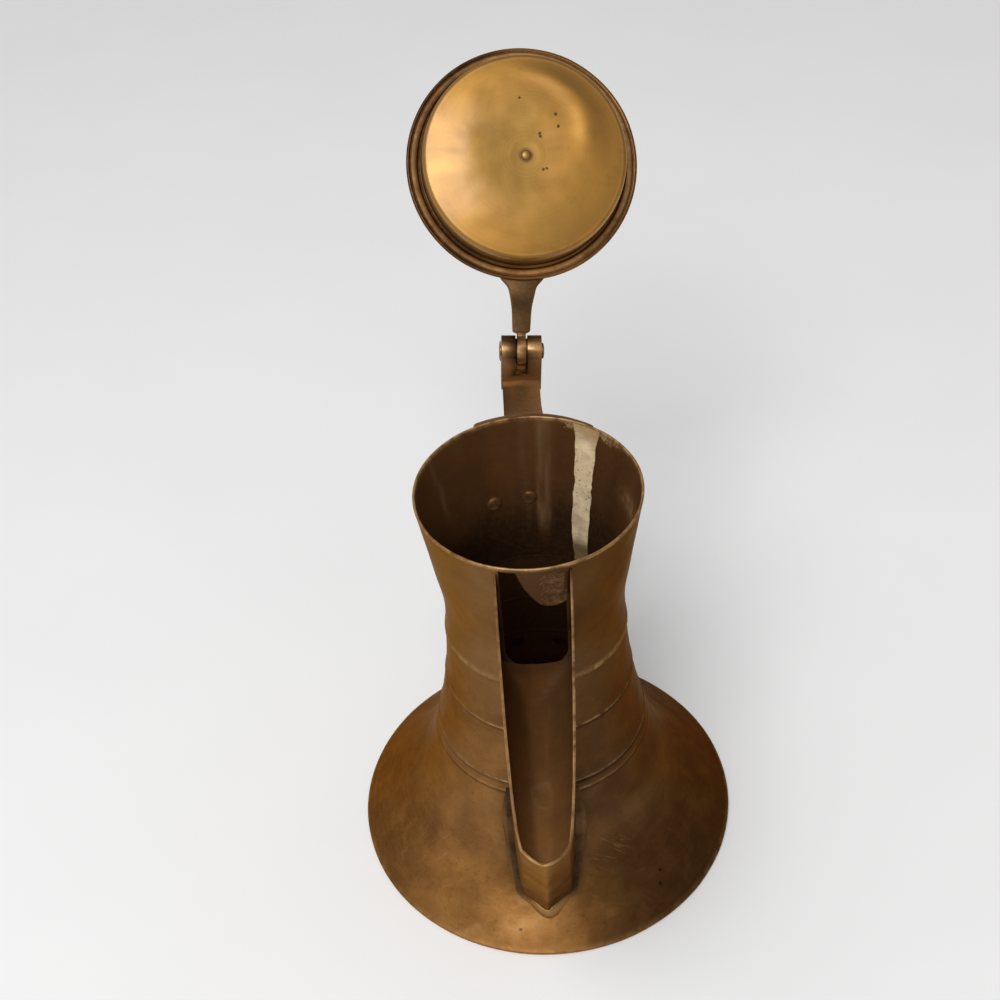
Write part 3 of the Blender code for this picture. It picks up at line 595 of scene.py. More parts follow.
def solder(name, hollow, face, crest, metal):
    """Old tin solder: darker in its hollows, paler on its crests, pitted."""
    look = Look(name, EDGE_TINT, metal)
    clouds = look.noise(160.0, 5.0, rough=0.6, twist=0.6)
    spots = look.node("ShaderNodeTexVoronoi", Vector=look.place, Scale=520.0).outputs["Distance"]
    pits = look.span(spots, 0.06, 0.30)
    worn = look.span(look.noise(45.0, 2.0), 0.55, 0.66)
    base = look.layers(look.mix(look.span(clouds, 0.38, 0.62), hollow, face),
                       (look.span(look.noise(70.0), 0.48, 0.70), crest),
                       (look.times(look.span(pits, 0.0, 1.0, 0.8, 0.0), worn), DARK),
                       (look.painted("tan"), SOLDER_TAN),
                       # Painted shade where the seam runs down into the mouth
                       (look.painted("grime"), SOLDER_GRIME))
    return look.end(Base_Color=base, Roughness=look.span(clouds, 0.3, 0.7, 0.40, 0.58),
                    Normal=look.bumps((look.noise(240.0, 5.0), 0.00030, 0.6), (pits, 0.0002, 0.7)))


def pan_brass(name):
    """Rubbed bright brass with fine turned rings, stains and a few dark pits; painted light brightens
    its right side, and it carries painted shade and soiling.
    """
    look = Look(name)
    flat = look.vector("MULTIPLY", look.place, (1.0, 1.0, 0.0))
    measured = look.node("ShaderNodeVectorMath", {"operation": "LENGTH"}, Vector=flat)
    radius = measured.outputs["Value"]
    rings = look.noise(2600.0, 2.0, where=look.node("ShaderNodeCombineXYZ", X=radius).outputs[0])
    clouds = look.noise(45.0, 4.0, rough=0.6, twist=0.8)
    across = look.node("ShaderNodeSeparateXYZ", Vector=look.place).outputs["X"]
    # Painted light brightens the pan's right side; its outer part is lighter too
    cleaner = look.math("MAXIMUM", look.span(across, 0.000, 0.030),
                        look.span(radius, 0.018, 0.036, 0.0, 0.60))
    cloudy = look.span(clouds, 0.36, 0.66)
    # Painted shade on the pan's side and round its middle, with soiling
    dirt = look.times(look.painted("grime"), look.span(look.noise(500.0, 4.0), 0.2, 0.6, 0.6, 1.0))
    base = look.layers(look.mix(cleaner, look.mix(cloudy, *PAN_MIDDLE), look.mix(cloudy, *PAN_EDGES)),
                       (look.span(rings, 0.45, 0.65, 0.0, 0.10), PAN_RINGS),
                       (look.span(look.noise(130.0, 4.0), 0.58, 0.72, 0.0, 0.30), PAN_STAIN),
                       (look.marks(PAN_PITS, 0.00042, flat), PAN_PIT),
                       (dirt, PAN_GRIME))
    return look.end(Base_Color=base, Roughness=look.span(clouds, 0.3, 0.7, 0.46, 0.56),
                    Coat_Weight=0.50, Coat_Roughness=0.20,
                    Normal=look.bumps((rings, 0.00002, 0.35), (look.noise(120.0), 0.00012, 0.35)))


def cast_brass(name, shine=0.42, dark=CAST_DARK, middle=CAST_MIDDLE):
    """Cast and filed brass: dark, with rubbed edges and file marks."""
    look = Look(name, EDGE_TINT, 0.8)
    clouds = look.noise(60.0, 2.0, rough=0.45, twist=0.4)
    fine = look.noise(700.0, 4.0)
    edge = look.span(look.node("ShaderNodeNewGeometry").outputs["Pointiness"], 0.515, 0.62)
    base = look.layers(look.mix(look.span(clouds, 0.36, 0.66), dark, middle),
                       (look.times(edge, look.span(fine, 0.35, 0.6, 0.85, 1.0)), RUBBED),
                       # Rubbed spots, and the painted highlight on the lid arm's tongue
                       (look.times(look.painted("wear"), look.span(fine, 0.3, 0.6, 0.5, 1.0)), RUBBED),
                       # Painted shade in the hinge's slot and on the lid arm's bosses
                       (look.painted("grime"), GRIME))
    files = look.noise(1.0, 2.0, where=look.stretched((90.0, 1500.0, 90.0), (0.4, 0, 0)))
    return look.end(Base_Color=base, Roughness=look.span(clouds, 0.3, 0.7, shine - 0.05, shine + 0.12),
                    Normal=look.bumps((look.noise(150.0, 2.0), 0.00006, 0.25), (files, 0.00001, 0.10)))


# The pot


def dent(scale, depth, seed):
    """A warp that presses a round wall unevenly inwards."""
    def moved(point):
        level = Vector((point.x, point.y, 0.0))
        if level.length < 1e-6:
            return point
        push = depth * (0.5 + 0.5 * rough(point, scale, seed))
        return point - level.normalized() * push
    return moved


def groove(height):
    """Depth of the turned lines: a sharp groove with a raised lip above it."""
    depth = sum(deep * bell(height, at, GROOVE_WIDTH) for at, deep in GROOVES)
    ridge = sum(0.8 * deep * bell(height, at + 2.0 * GROOVE_WIDTH, 0.9 * GROOVE_WIDTH)
                for at, deep in GROOVES)
    return depth - ridge


def levels(low, high, pitch, around=(), reach=0.0):
    """Heights from low to high, closer together near some heights."""
    spread = spaced(low, high, round((high - low) / pitch))[1:-1]
    spread = [z for z in spread if all(abs(z - a) > reach for a in around)]
    for a in around:
        spread += [a + reach * i / 8 for i in range(-8, 9)]
    return [low] + sorted(z for z in spread if low < z < high) + [high]


def make_body(look):
    rise = levels(FOOT_LAND, JOINT_HEIGHT, 0.0016, [z for z, _ in GROOVES], 0.0022)
    outside = arc((BASE_RADIUS - FOOT_ROUND, FOOT_ROUND), FOOT_ROUND, -BACK, 0.0, 4)
    outside += [(pot_radius(z) - groove(z), z) for z in rise]
    inside = [(pot_radius(z) - BODY_WALL, z) for z in reversed(rise)]
    inside.append((BASE_RADIUS - BODY_WALL, 0.0))
    body = lathe("pot_body", outside + inside, warp=dent(55.0, 0.0003, 2.0))
    # The body carries painted shade on its right, beside the spout and inside, painted sheen above the
    # flare, and painted highlight on the flare's front
    place(body, "patinated_brass", look, "body_shell", wear=body_wear, gilt=body_gilt,
          grime=body_grime, aged=aged, stain=lambda p: haze(p) * (not inside_body(p)),
          tarnish=lambda p: 0.9 * inside_body(p))


def inside_body(p):
    return hypot(p.x, p.y) < pot_radius(p.z) - 0.7 * BODY_WALL


def aged(p):
    """Painted shade that darkens the pot's right side, fully above the lower flare and a little less
    below it.
    """
    across = p.x + 0.010 * rough(p, 45.0, 3.0)
    high = 1.05 * step(-0.006, 0.017, across) * step(0.022, 0.050, p.z)
    wide = lerp(0.64, 0.88, step(0.030, 0.066, p.x)) * step(0.004, 0.034, across)
    return max(min(high, 1.0), wide)


def haze(p):
    """Painted sheen: a greyish film on the waist and neck that stands for a soft reflection of the
    pale floor, left off the flare and weaker under the painted shade on the right.
    """
    amount = lerp(0.20, 0.44, step(0.095, 0.125, p.z)) * step(0.018, 0.045, p.z)
    return amount * (1.0 - 0.65 * aged(p)) * (1.0 + 0.5 * rough(p, 60.0, 8.0))


def body_wear(p):
    rings = sum(bell(p.z, at + 2.0 * GROOVE_WIDTH, 0.0006) * min(1.0, deep / 0.0004)
                for at, deep in GROOVES)
    front = 0.25 + 0.75 * step(0.45, 0.90, -p.y / max(hypot(p.x, p.y), 1e-6))
    foot = 0.6 * bell(p.z, 0.0012, 0.0009)
    return min(1.0, (0.9 * rings * front + foot) * (0.7 + 0.6 * rough(p, 140.0)) + below_prow(p))


def body_gilt(p):
    """Gold on the front of the flare, partly rubbed patina and partly painted highlight, with painted
    highlight on its left side.
    """
    turn = atan2(p.x, -p.y)
    low = 1.0 - step(0.010, 0.040, p.z)
    front = bell(turn, -0.25, 0.75)
    side = 0.45 * bell(turn, -0.5, 0.7) * bell(p.z, 0.050, 0.03)
    return min(1.0, (0.68 * low * front + side) * (1.0 + 0.7 * rough(p, 60.0, 1.0)))


# Painted shade in a band beside the spout's foot and inside the pot; also darker in the grooves and
# along the neck's lap joint
def body_grime(p):
    side = outside_spout(p)
    near = bell(side, 0.0015, 0.0036) * band(p.z, 0.014, 0.026, 0.066, 0.080)
    grooves = sum(bell(p.z, at, 0.0005) for at, _ in GROOVES)
    edge = 0.6 * bell(p.z, JOINT_HEIGHT, 0.0012)
    return min(0.85, 0.50 * near + 0.4 * grooves + edge + 0.65 * inside_body(p))


def below_prow(p):
    """Pale worn lumps on the flare under the prow."""
    side = outside_spout(p) + 0.0016 * rough(p, 260.0, 4.0)
    lumps = 0.32 * (1.0 - step(0.0030, 0.0100, side)) * step(0.0195, 0.0160, p.z) * (p.y < 0)
    return max(0.0, lumps * (0.5 + 1.3 * rough(p, 200.0, 6.0)))


FILLET_REACH = 0.0022
PLATE_CHAMFER = 0.0003


def make_base(look, solder_look):
    """Beaten bottom plate inside the foot, and the fillet of solder round it."""
    low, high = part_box("base_plate")
    c = PLATE_CHAMFER
    edge = [(high.x - c, low.z), (high.x, low.z + c), (high.x, high.z - c), (high.x - c, high.z)]
    radii = spaced(high.x, 0.0, 24)[1:]
    top = [(r, high.z) for r in radii]
    bottom = [(r, low.z) for r in reversed(radii)]

    def beaten(point):
        middle = 1.0 - step(0.85, 0.97, hypot(point.x, point.y) / high.x)
        return point + UP * (0.0003 * middle * (rough((point.x, point.y, 0.0), 70.0, 3.0) + 1.0))

    plate = lathe("bottom_plate", bottom + edge + top, 128, closed=False, warp=beaten)
    place(plate, "dull_brass", look, "base_plate")
    low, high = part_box("base_solder")
    wall = [(pot_radius(z) - BODY_WALL - FIT, z) for z in spaced(low.z, high.z, 6)]
    hollow = [(wall[-1][0] - FILLET_REACH * (1.0 - cos(t)), lerp(high.z, low.z, sin(t)))
              for t in (0.4, 0.8, 1.2, BACK)]
    fillet = lathe("bottom_solder", wall + hollow, 160, warp=dent(150.0, 0.0003, 4.0))
    place(fillet, "tin_solder", solder_look, "base_solder")


def make_neck(look):
    rise = levels(JOINT_HEIGHT - 0.0006, RIM_HEIGHT - 0.0005, 0.0015)
    outside = [(pot_radius(z) + LAP * (1 - step(JOINT_HEIGHT, JOINT_HEIGHT + 0.003, z)), z)
               for z in rise]
    rim = arc((RIM_RADIUS - 0.5 * NECK_WALL, RIM_HEIGHT - 0.5 * NECK_WALL), 0.5 * NECK_WALL,
              0.0, pi, 8)
    inside = [(pot_radius(z) - NECK_WALL, z) for z in reversed(rise)]
    neck = lathe("pot_neck", outside[:-1] + rim + inside[1:], warp=dent(70.0, 0.0002, 5.0))
    boolean(neck, window_cutter())
    bevel(neck, 0.00025, 2, 50.0)
    # The neck carries painted sheen outside, painted reflections and painted shade in the mouth, and
    # painted shade on its right
    place(neck, "patinated_brass", look, "neck", wear=neck_wear, grime=neck_grime, tin=neck_tin,
          stain=neck_stain, gilt=lambda p: 0.06 + 0.2 * rough(p, 50.0, 7.0),
          aged=lambda p: 0.0 if inside_neck(p) else aged(p),
          tarnish=lambda p: 0.9 * (inside_neck(p) or in_channel(p)))


def window_cutter():
    w = WINDOW_HALF
    top = RIM_HEIGHT - RIM_BRIDGE
    corner = WINDOW_SILL + WINDOW_CORNER
    points = arc((w - WINDOW_CORNER, corner), WINDOW_CORNER, 0.0, -BACK, 10)
    points += arc((WINDOW_CORNER - w, corner), WINDOW_CORNER, -BACK, -pi, 10)
    points += [(-w, top)]
    flap = [(-FLAP_START, top), (-0.25 * w, top - 0.45 * FLAP_DROP),
            (0.15 * w, top - 0.86 * FLAP_DROP), (0.55 * w, top - FLAP_DROP),
            (w, top - 0.93 * FLAP_DROP)]
    for t in shares(24):
        ragged = 0.00025 * rough((t, 0.0, 0.0), 14.0, 3.0) * min(1.0, 4 * t * (1.2 - t))
        x, z = curve_through(flap, t)
        points.append((x, z + ragged))
    return prism("window_cutter", points, -RIM_RADIUS - 0.01, -0.5 * SPOUT_BACK, along_y=True)


def neck_wear(p):
    rim = step(RIM_HEIGHT - 0.0016, RIM_HEIGHT - 0.0002, p.z)
    lap = bell(p.z, JOINT_HEIGHT + 0.0002, 0.0009) * (0.4 + 0.6 * (p.y < 0))
    lap *= not inside_neck(p)
    turn = atan2(p.x, p.y)
    strip = bell(p.z, RIM_HEIGHT - 0.0200, 0.0045) * band(turn, 1.0, 1.4, 1.75, 2.1)
    return min(1.0, 0.75 * rim + 0.9 * lap * (0.7 + 0.5 * rough(p, 120.0, 2.0))
               + 0.65 * strip * inside_neck(p))


def inside_neck(p):
    return hypot(p.x, p.y) < pot_radius(p.z) - 0.6 * NECK_WALL


def in_channel(p):
    return -p.y > SPOUT_BACK and abs(p.x) < SPOUT_HALF - SPOUT_WALL


def neck_grime(p):
    """Painted shade that deepens down the mouth and towards its right, lifted where the pale painted
    reflections run; faint soiling outside.
    """
    if not inside_neck(p):
        return 0.05
    turn = atan2(p.x, p.y)
    streak = 0.16 * rough((2.5 * turn, 0.0, 2.0 * p.z), 2.0, 2.0)
    deep = 0.80 * (1.0 - step(0.130, 0.168, p.z + 0.004 * rough(p, 70.0, 5.0)))
    side = 0.15 * step(0.2, 1.0, turn)
    return min(0.88, max(0.0, 0.32 + deep + streak + side)) * (1.0 - min(1.0, 1.2 * neck_stain(p)))


def neck_stain(p):
    """Painted sheen on the outside; inside, painted reflections as pale streaks down the back of the
    mouth and at its left.
    """
    if not inside_neck(p):
        return haze(p)
    if p.y < 0:
        return 0.0
    turn = atan2(p.x, p.y)
    wander = 0.02 * rough((0.0, 0.0, p.z), 140.0, 1.0)
    broad = band(turn + wander, 0.075, 0.105, 0.215, 0.250)
    thin = bell(turn + wander, -0.03, 0.055)
    left = bell(turn + 2.0 * wander, lerp(-1.10, -0.96, (RIM_HEIGHT - p.z) / 0.045), 0.035)
    fade = step(0.128, 0.150, p.z)
    patchy = 0.65 + 0.7 * rough((8.0 * turn, 0.0, p.z), 60.0, 3.0)
    low = 1.0 + 0.8 * bell(p.z, 0.142, 0.009)
    streaks = 0.62 * broad * low + 0.30 * thin + 0.60 * left * step(0.150, 0.165, p.z)
    return min(0.9, max(0.0, streaks * fade * patchy))


SEAM_TURN = radians(34.7)
SEAM_HALF_TOP = 0.0056
SEAM_HALF_LOW = 0.0040
SEAM_LIFT = 0.0004


def neck_tin(p):
    """Pale solder that was wiped over the flap and round the seam's head."""
    ragged = 0.0016 * rough(p, 260.0, 2.0)
    flap = step(-0.001, 0.003, p.x + ragged) * (p.y < 0) * (abs(p.x) < WINDOW_HALF)
    flap *= step(0.164, 0.168, p.z) * (1.0 - step(0.187, 0.1925, p.z + ragged))
    head = 0.0
    if p.y > 0 and inside_neck(p):
        turn = atan2(p.x, p.y)
        wiped = bell(turn, SEAM_TURN + 0.24, 0.20) + 0.8 * bell(turn, SEAM_TURN - 0.15, 0.10)
        head = wiped * step(0.1875, 0.1915, p.z + 1.5 * ragged)
    return max(0.60 * flap * lerp(0.45, 1.1, step(0.0, 0.0105, p.x)), 0.9 * head)


def make_seam(look):
    """Strip of solder over the neck's seam, with a wavy edge, inside the mouth."""
    rows = []
    low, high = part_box("seam_solder")[0].z - 0.003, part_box("seam_solder")[1].z
    for share in shares(70):
        z = lerp(low, high, share)
        wall = pot_radius(z) - NECK_WALL + SINK
        half = lerp(SEAM_HALF_LOW, SEAM_HALF_TOP, share)
        left = half + 0.0006 * rough((0, 0, z), 160.0, 1.0) + 0.0014 * step(0.186, 0.193, z)
        right = half + 0.0006 * rough((0, 0, z), 160.0, 9.0) + 0.0012 * step(0.184, 0.193, z)
        row = []
        for s in spaced(-1.0, 1.0, 16):
            across = s * (left if s < 0 else right)
            turn = SEAM_TURN + across / wall
            lift = SEAM_LIFT * sqrt(max(0.0, 1.0 - s ** 4))
            lift *= 0.9 + 0.2 * rough((across, 0, z), 500.0, 2.0)
            radius = wall - lift
            row.append((radius * sin(turn), radius * cos(turn), z))
        rows.append(row)
    # Painted shade darkens the seam's lower end, deep in the mouth
    place(grid_mesh("seam_strip", rows), "tin_solder", look, "seam_solder",
          tan=lambda p: 0.75 * step(0.183, 0.192, p.z + 0.005 * rough(p, 150.0, 4.0)),
          grime=lambda p: 0.85 * (1.0 - step(0.1325, 0.1395, p.z + 0.002 * rough(p, 150.0))))


def make_spout(look):
    low, high = SPOUT_FOOT[1] - 0.0095, RIM_HEIGHT + 0.003
    heights = spaced(low, high, 60)
    spout = rod("pot_spout", [spout_section(z, 0.0) for z in heights], 28.0)
    hollow = [spout_section(z, LIP_THICKNESS) for z in heights[1:] + [high + 0.003]]
    boolean(spout, rod("hollow", hollow))
    core = [(0.0, high + 0.02), (RIM_RADIUS - 0.0005, high + 0.02)]
    core += [(pot_radius(z) - 0.0005, z) for z in reversed(levels(FOOT_LAND, RIM_HEIGHT, 0.002))]
    core += [(BASE_RADIUS - 0.0005, -0.02), (0.0, -0.02)]
    boolean(spout, lathe("core", core))
    far = 1.5 * SPOUT_TIP[0]
    above = RIM_HEIGHT + 0.03
    wedge = [(0.0, lip_height(0.0)), (-far, lip_height(far)), (-far, above), (0.0, above)]
    boolean(spout, prism("wedge", wedge, -2 * SPOUT_HALF, 2 * SPOUT_HALF))
    bevel(spout, 0.00028, 2, 50.0)
    # The spout carries painted sheen outside, painted shade on its right, on its side walls and in its
    # channel, and painted highlight on its right lip
    place(spout, "patinated_brass", look, "spout_shell", wear=spout_wear, grime=spout_grime,
          aged=spout_aged, tarnish=lambda p: 0.85 * inside_spout(p),
          gilt=lambda p: 0.20 + 0.3 * rough(p, 50.0, 2.0) + 0.35 * (-p.y > 0.062),
          stain=lambda p: 0.0 if inside_spout(p) else 0.12 + 0.6 * haze(p))


def spout_aged(p):
    """Painted shade: darker on the right of the ridge, and darker still on the two side walls."""
    if inside_spout(p):
        return 0.0
    _, start, *_, shift = spout_cut(p.z, 0.0)
    walls = step(0.0008, -0.0008, -p.y - start)
    return max(0.72 * step(-0.0002, 0.0004, p.x - shift), walls * (0.45 if p.x < shift else 0.95))


def pot_height_under(p):
    """Height of the pot's wall below a point of the spout, found along the outline."""
    out = hypot(p.x, p.y)
    low, high = FOOT_LAND, WAIST
    if out < pot_radius(high):
        return p.z
    for _ in range(24):
        middle = 0.5 * (low + high)
        if pot_radius(middle) > out:
            low = middle
        else:
            high = middle
    return low


def spout_wear(p):
    lip = step(-0.0009, -0.0001, p.z - lip_height(-p.y))
    # The extra brightness on the right lip is painted highlight; both lips are dimmed near the tip
    right = 0.14 * (p.x > 0) - 0.10 * step(0.12, 0.145, -p.y)
    ridge = 0.22 * bell(-p.y, keel_out(p.z), 0.0010)
    return min(1.0, lip * (0.34 + right + 0.8 * rough(p, 130.0)) + ridge)


def inside_spout(p):
    half, shift = spout_half(-p.y, p.z)
    return abs(p.x - shift) < half - 0.6 * LIP_THICKNESS


# Painted shade inside the channel, heavier on the right wall and at the floor, and low on the spout's
# back sides where they meet the pot; faint soiling elsewhere
def spout_grime(p):
    if inside_spout(p):
        return (0.24 if p.x < 0 else 0.38) + 0.40 * bell(p.z, floor_height(-p.y), 0.005)
    low = 1.0 - step(0.0, 0.009, p.z - pot_height_under(p))
    sides = 1.0 - step(0.055, 0.066, -p.y)
    return 0.04 + 0.55 * low * sides


FLOOR_START = 0.0365
FLOOR_REACH = 0.1516
FLOOR_INSET = 0.85 * LIP_THICKNESS
FLOOR_SHEET = 0.0006
TROUGH_DEPTH = 0.0085


def make_spout_floor(look):
    """Trough that floors the spout's channel, dished and a little uneven."""
    rows = []
    for share in shares(220):
        out = lerp(FLOOR_START, FLOOR_REACH, 1.0 - (1.0 - share) ** 1.3)
        z = floor_height(out)
        half, _ = spout_half(out, z, FLOOR_INSET)
        depth = TROUGH_DEPTH * step(0.0, 0.012, half) * (0.45 + 0.55 * step(0.036, 0.060, out))
        row = []
        for s in spaced(-1.0, 1.0, 56):
            lift = depth * abs(s) ** 2.6 + 0.0003 * rough((s * half, 0.4 * out, 0.0), 170.0, 6.0)
            there, aside = spout_half(out, z + lift, FLOOR_INSET)
            row.append((aside + s * there, -out, z + lift))
        rows.append(row)
    floor = grid_mesh("channel_floor", rows)
    thick = floor.modifiers.new("sheet", "SOLIDIFY")
    thick.thickness = FLOOR_SHEET
    thick.offset = -1.0
    settle(floor)
    place(floor, "dull_brass", look, "spout_floor", grime=floor_grime, stain=floor_stain,
          gilt=lambda p: 0.35 + 0.3 * step(0.09, 0.13, -p.y))


STAIN = (-0.0004, -0.1160)
STAIN_SIZE = (0.0034, 0.0068)


# Painted shade on the channel floor: the shadow of the left wall, the rising sides and the back end
# under the window
def floor_grime(p):
    half, shift = spout_half(-p.y, p.z)
    sides = step(0.55, 1.0, abs(p.x - shift) / max(half, 1e-4))
    edge = p.x - 0.010 * (p.y + 0.06) + 0.0006 * rough(p, 160.0, 1.0)
    left = 1.0 - step(-0.0044, -0.0022, edge)
    return min(0.85, 0.26 * sides + 0.19 * left + 0.30 * (1.0 - step(0.0385, 0.048, -p.y)))


def floor_stain(p):
    """Ring of old staining, and a pale streak of painted highlight that runs down from the window's
    right corner.
    """
    wander = 0.36 * rough(p, 300.0, 3.0) + 0.08 * rough(p, 700.0, 1.0)
    ring = hypot((p.x - STAIN[0]) / STAIN_SIZE[0], (p.y - STAIN[1]) / STAIN_SIZE[1]) + wander
    along = band(-p.y, 0.036, 0.041, 0.052, 0.076)
    line = lerp(0.0105, -0.002, step(0.036, 0.070, -p.y))
    # Painted highlight along the window's right corner
    smear = bell(p.x, line, 0.0026) * along * (0.7 + 0.9 * rough(p, 320.0, 2.0))
    faint = 0.10 * max(0.0, rough((p.x, 0.15 * p.y, 0.0), 420.0, 5.0))
    broken = max(0.75 + 0.7 * rough(p, 200.0, 14.0), 0.1)
    return min(0.8, 0.55 * (broken * bell(ring, 1.0, 0.19) + max(smear, 0.0)) + faint)


def joint_point(z, side):
    """Point where the spout's outer wall meets the pot's wall, at a height."""
    low, high = 0.0, pot_radius(z)
    for _ in range(30):
        out = 0.5 * (low + high)
        half, shift = spout_half(out, z)
        if hypot(half + side * shift, out) < pot_radius(z):
            low = out
        else:
            high = out
    half, shift = spout_half(low, z)
    return Vector((shift + side * half, -low, z))


# Width and height of the bead, under the prow and up the two sides
BEAD_WIDTHS = (0.0026, 0.0046)
BEAD_HEIGHTS = (0.0009, 0.0007)


def bead_tan(p):
    """The bead's outer side is rubbed pale; the extra paleness on the left is painted light."""
    rubbed = (0.26 if p.x < 0 else 0.12) * step(0.0012, 0.0034, outside_spout(p))
    return rubbed * (1.0 + 0.6 * rough(p, 150.0))


def make_bead(look):
    """Uneven bead of solder that runs round the spout's foot."""
    heights = [lerp(SOLDER_TOP, SPOUT_FOOT[1] + 0.0002, share ** 0.8) for share in shares(40)]
    path = [joint_point(z, -1) for z in heights] + [joint_point(z, 1) for z in reversed(heights)]
    for _ in range(10):
        path[1:-1] = [here.lerp(0.5 * (before + after), 0.5 * step(0.0190, 0.0160, here.z))
                      for before, here, after in zip(path, path[1:], path[2:])]
    rows = []
    for i, spot in enumerate(path):
        ahead = (path[min(i + 1, len(path) - 1)] - path[max(i - 1, 0)]).normalized()
        out = Vector((spot.x, spot.y, 0.0)).normalized()
        aside = ahead.cross(out).normalized()
        end = min(1.0, 0.35 + min(i, len(path) - 1 - i) / 8)
        high = step(0.017, 0.026, spot.z) * (0.5 + 0.5 * step(SOLDER_TOP, 0.045, spot.z))
        foot = (1.0 - high) * bell(spot.x, SPOUT_FOOT_SHIFT, 0.0060)
        spot = spot + foot * Vector((0.0004, -0.0022, -0.0010))
        uneven = 1.0 + lerp(0.6, 0.25, high) * rough(spot, 160.0, 8.0)
        wide = end * lerp(*BEAD_WIDTHS, high) * uneven
        tall = end * lerp(*BEAD_HEIGHTS, high) * (1.0 + 0.4 * rough(spot, 170.0, 11.0))
        rows.append([spot + aside * (wide * cos(t)) + out * (tall * sin(t))
                     for t in round_turns(16)])
    place(rod("spout_bead", rows, 60.0), "tin_solder", look, "spout_solder",
          tan=lambda p: max(0.85 * step(0.0215, 0.0165, p.z), bead_tan(p)))


# Strap, bracket and pin


STRAP_THICKNESS = 0.0028
STRAP_LEFT = radians(27.5)
STRAP_RIGHT = radians(37.5)


def make_strap(look):
    """Band round the back of the rim, thinner towards its rounded ends."""
    low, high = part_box("neck_strap")[0].z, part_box("neck_strap")[1].z
    rows = []
    for share in shares(60):
        turn = lerp(BACK - STRAP_RIGHT, BACK + STRAP_LEFT, share)
        right = step(0.0, 0.45, share)
        end = sqrt(min(1.0, share / 0.03, (1.0 - share) / 0.03) + 0.02)
        thick = min(1.0, end) * STRAP_THICKNESS * (0.38 + 0.62 * right)
        drop = 0.2 * (high - low) * (1.0 - min(1.0, end))
        row = []
        for outer, rises in ((False, shares(8)), (True, shares(8)[::-1])):
            for t in rises:
                z = lerp(low + drop, high, t)
                edge = (1.0 - abs(2.0 * t - 1.0) ** 6) ** 0.5
                radius = pot_radius(z) + (FIT + thick * (0.45 + 0.55 * edge) if outer else SINK)
                row.append((radius * cos(turn), radius * sin(turn), z))
        rows.append(row)
    place(rod("rim_strap", rows), "cast_brass", look, "neck_strap")


KNUCKLE = 0.0065
FORK_WIDTH = 0.0167
FORK_SLOT = 0.0050
SLOT_LEDGE = 0.0072
SLOT_DEPTH = 0.0102
SLOT_STOP = 0.0033
ARM_WIDTH = 0.0154
ARM_TOP_DROP = 0.0010
ARM_DEPTH = 0.0062
ARM_SHIFT = -0.0007
TONGUE = 0.0036
FLANK = 0.0024
FLANK_RADIUS = 0.0052


def leaned(made):
    """Turn a piece of the hinge with the pin's slight lean."""
    made.data.transform(about_pin(atan2(-PIN_AXIS.z, PIN_AXIS.x), "Y"))
    return made


def make_bracket(look):
    y, z = PIN.y, PIN.z
    top = RIM_HEIGHT - ARM_TOP_DROP
    bottom = top - ARM_DEPTH
    front, back = y - KNUCKLE, y + KNUCKLE
    fork_side = arc((y, z), KNUCKLE, 0.0, pi, 24) + [(front, bottom + 0.2 * ARM_DEPTH)]
    fork_side += arc((back - ARM_DEPTH, bottom + ARM_DEPTH), ARM_DEPTH, -BACK, 0.0, 8)
    root = RIM_RADIUS + FIT + 0.3 * STRAP_THICKNESS
    inside = front + 0.6 * KNUCKLE
    rows = []
    for share in shares(10):
        out = lerp(root, inside, share)
        left = ARM_SHIFT - 0.5 * ARM_WIDTH - 0.0004 * share
        right = ARM_SHIFT + 0.5 * ARM_WIDTH + 0.0007 * (1.0 - share) ** 6
        low = lerp(bottom - 0.5 * ARM_DEPTH, bottom, share)
        rows.append([(left, out, low), (right, out, low), (right, out, top), (left, out, top)])
    bracket = rod("hinge_fork", rows)
    fork = leaned(prism("fork", fork_side, -0.5 * FORK_WIDTH, 0.5 * FORK_WIDTH))
    boolean(bracket, fork, "UNION")
    ledge, floor, stop = z - SLOT_LEDGE, z - SLOT_DEPTH, y - SLOT_STOP
    near, far, tall = y - 3 * KNUCKLE, y + 3 * KNUCKLE, z + 2 * KNUCKLE
    slot = [(near, ledge), (stop, ledge), (stop, floor), (far, floor), (far, tall), (near, tall)]
    boolean(bracket, leaned(prism("slot", slot, -0.5 * FORK_SLOT, 0.5 * FORK_SLOT)))
    bevel(bracket, 0.0006, 3, 40.0)
    place(bracket, "cast_brass", look, "hinge_bracket", wear=bracket_wear, grime=bracket_grime)


def bracket_wear(p):
    """Rubbed fronts of the fork's ears."""
    ears = step(0.008, 0.004, abs(p.z - PIN.z - 0.001)) * step(PIN.y, PIN.y - 0.003, p.y)
    return 0.95 * ears * (abs(p.x) > 0.5 * FORK_SLOT)


def bracket_grime(p):
    """Painted shade in the fork's slot and in the corner where the fork meets the arm."""
    slot = abs(p.x) < 0.5 * FORK_SLOT + 0.0003
    corner = bell(p.z, RIM_HEIGHT - ARM_TOP_DROP, 0.0012) * (abs(p.y - PIN.y + KNUCKLE) < 0.0016)
    return max(0.85 * slot * step(RIM_HEIGHT - 0.002, RIM_HEIGHT + 0.002, p.z), 0.45 * corner)


PIN_RADIUS = 0.0020
HEAD_RADIUS = 0.0033
PEEN_RADIUS = 0.0042


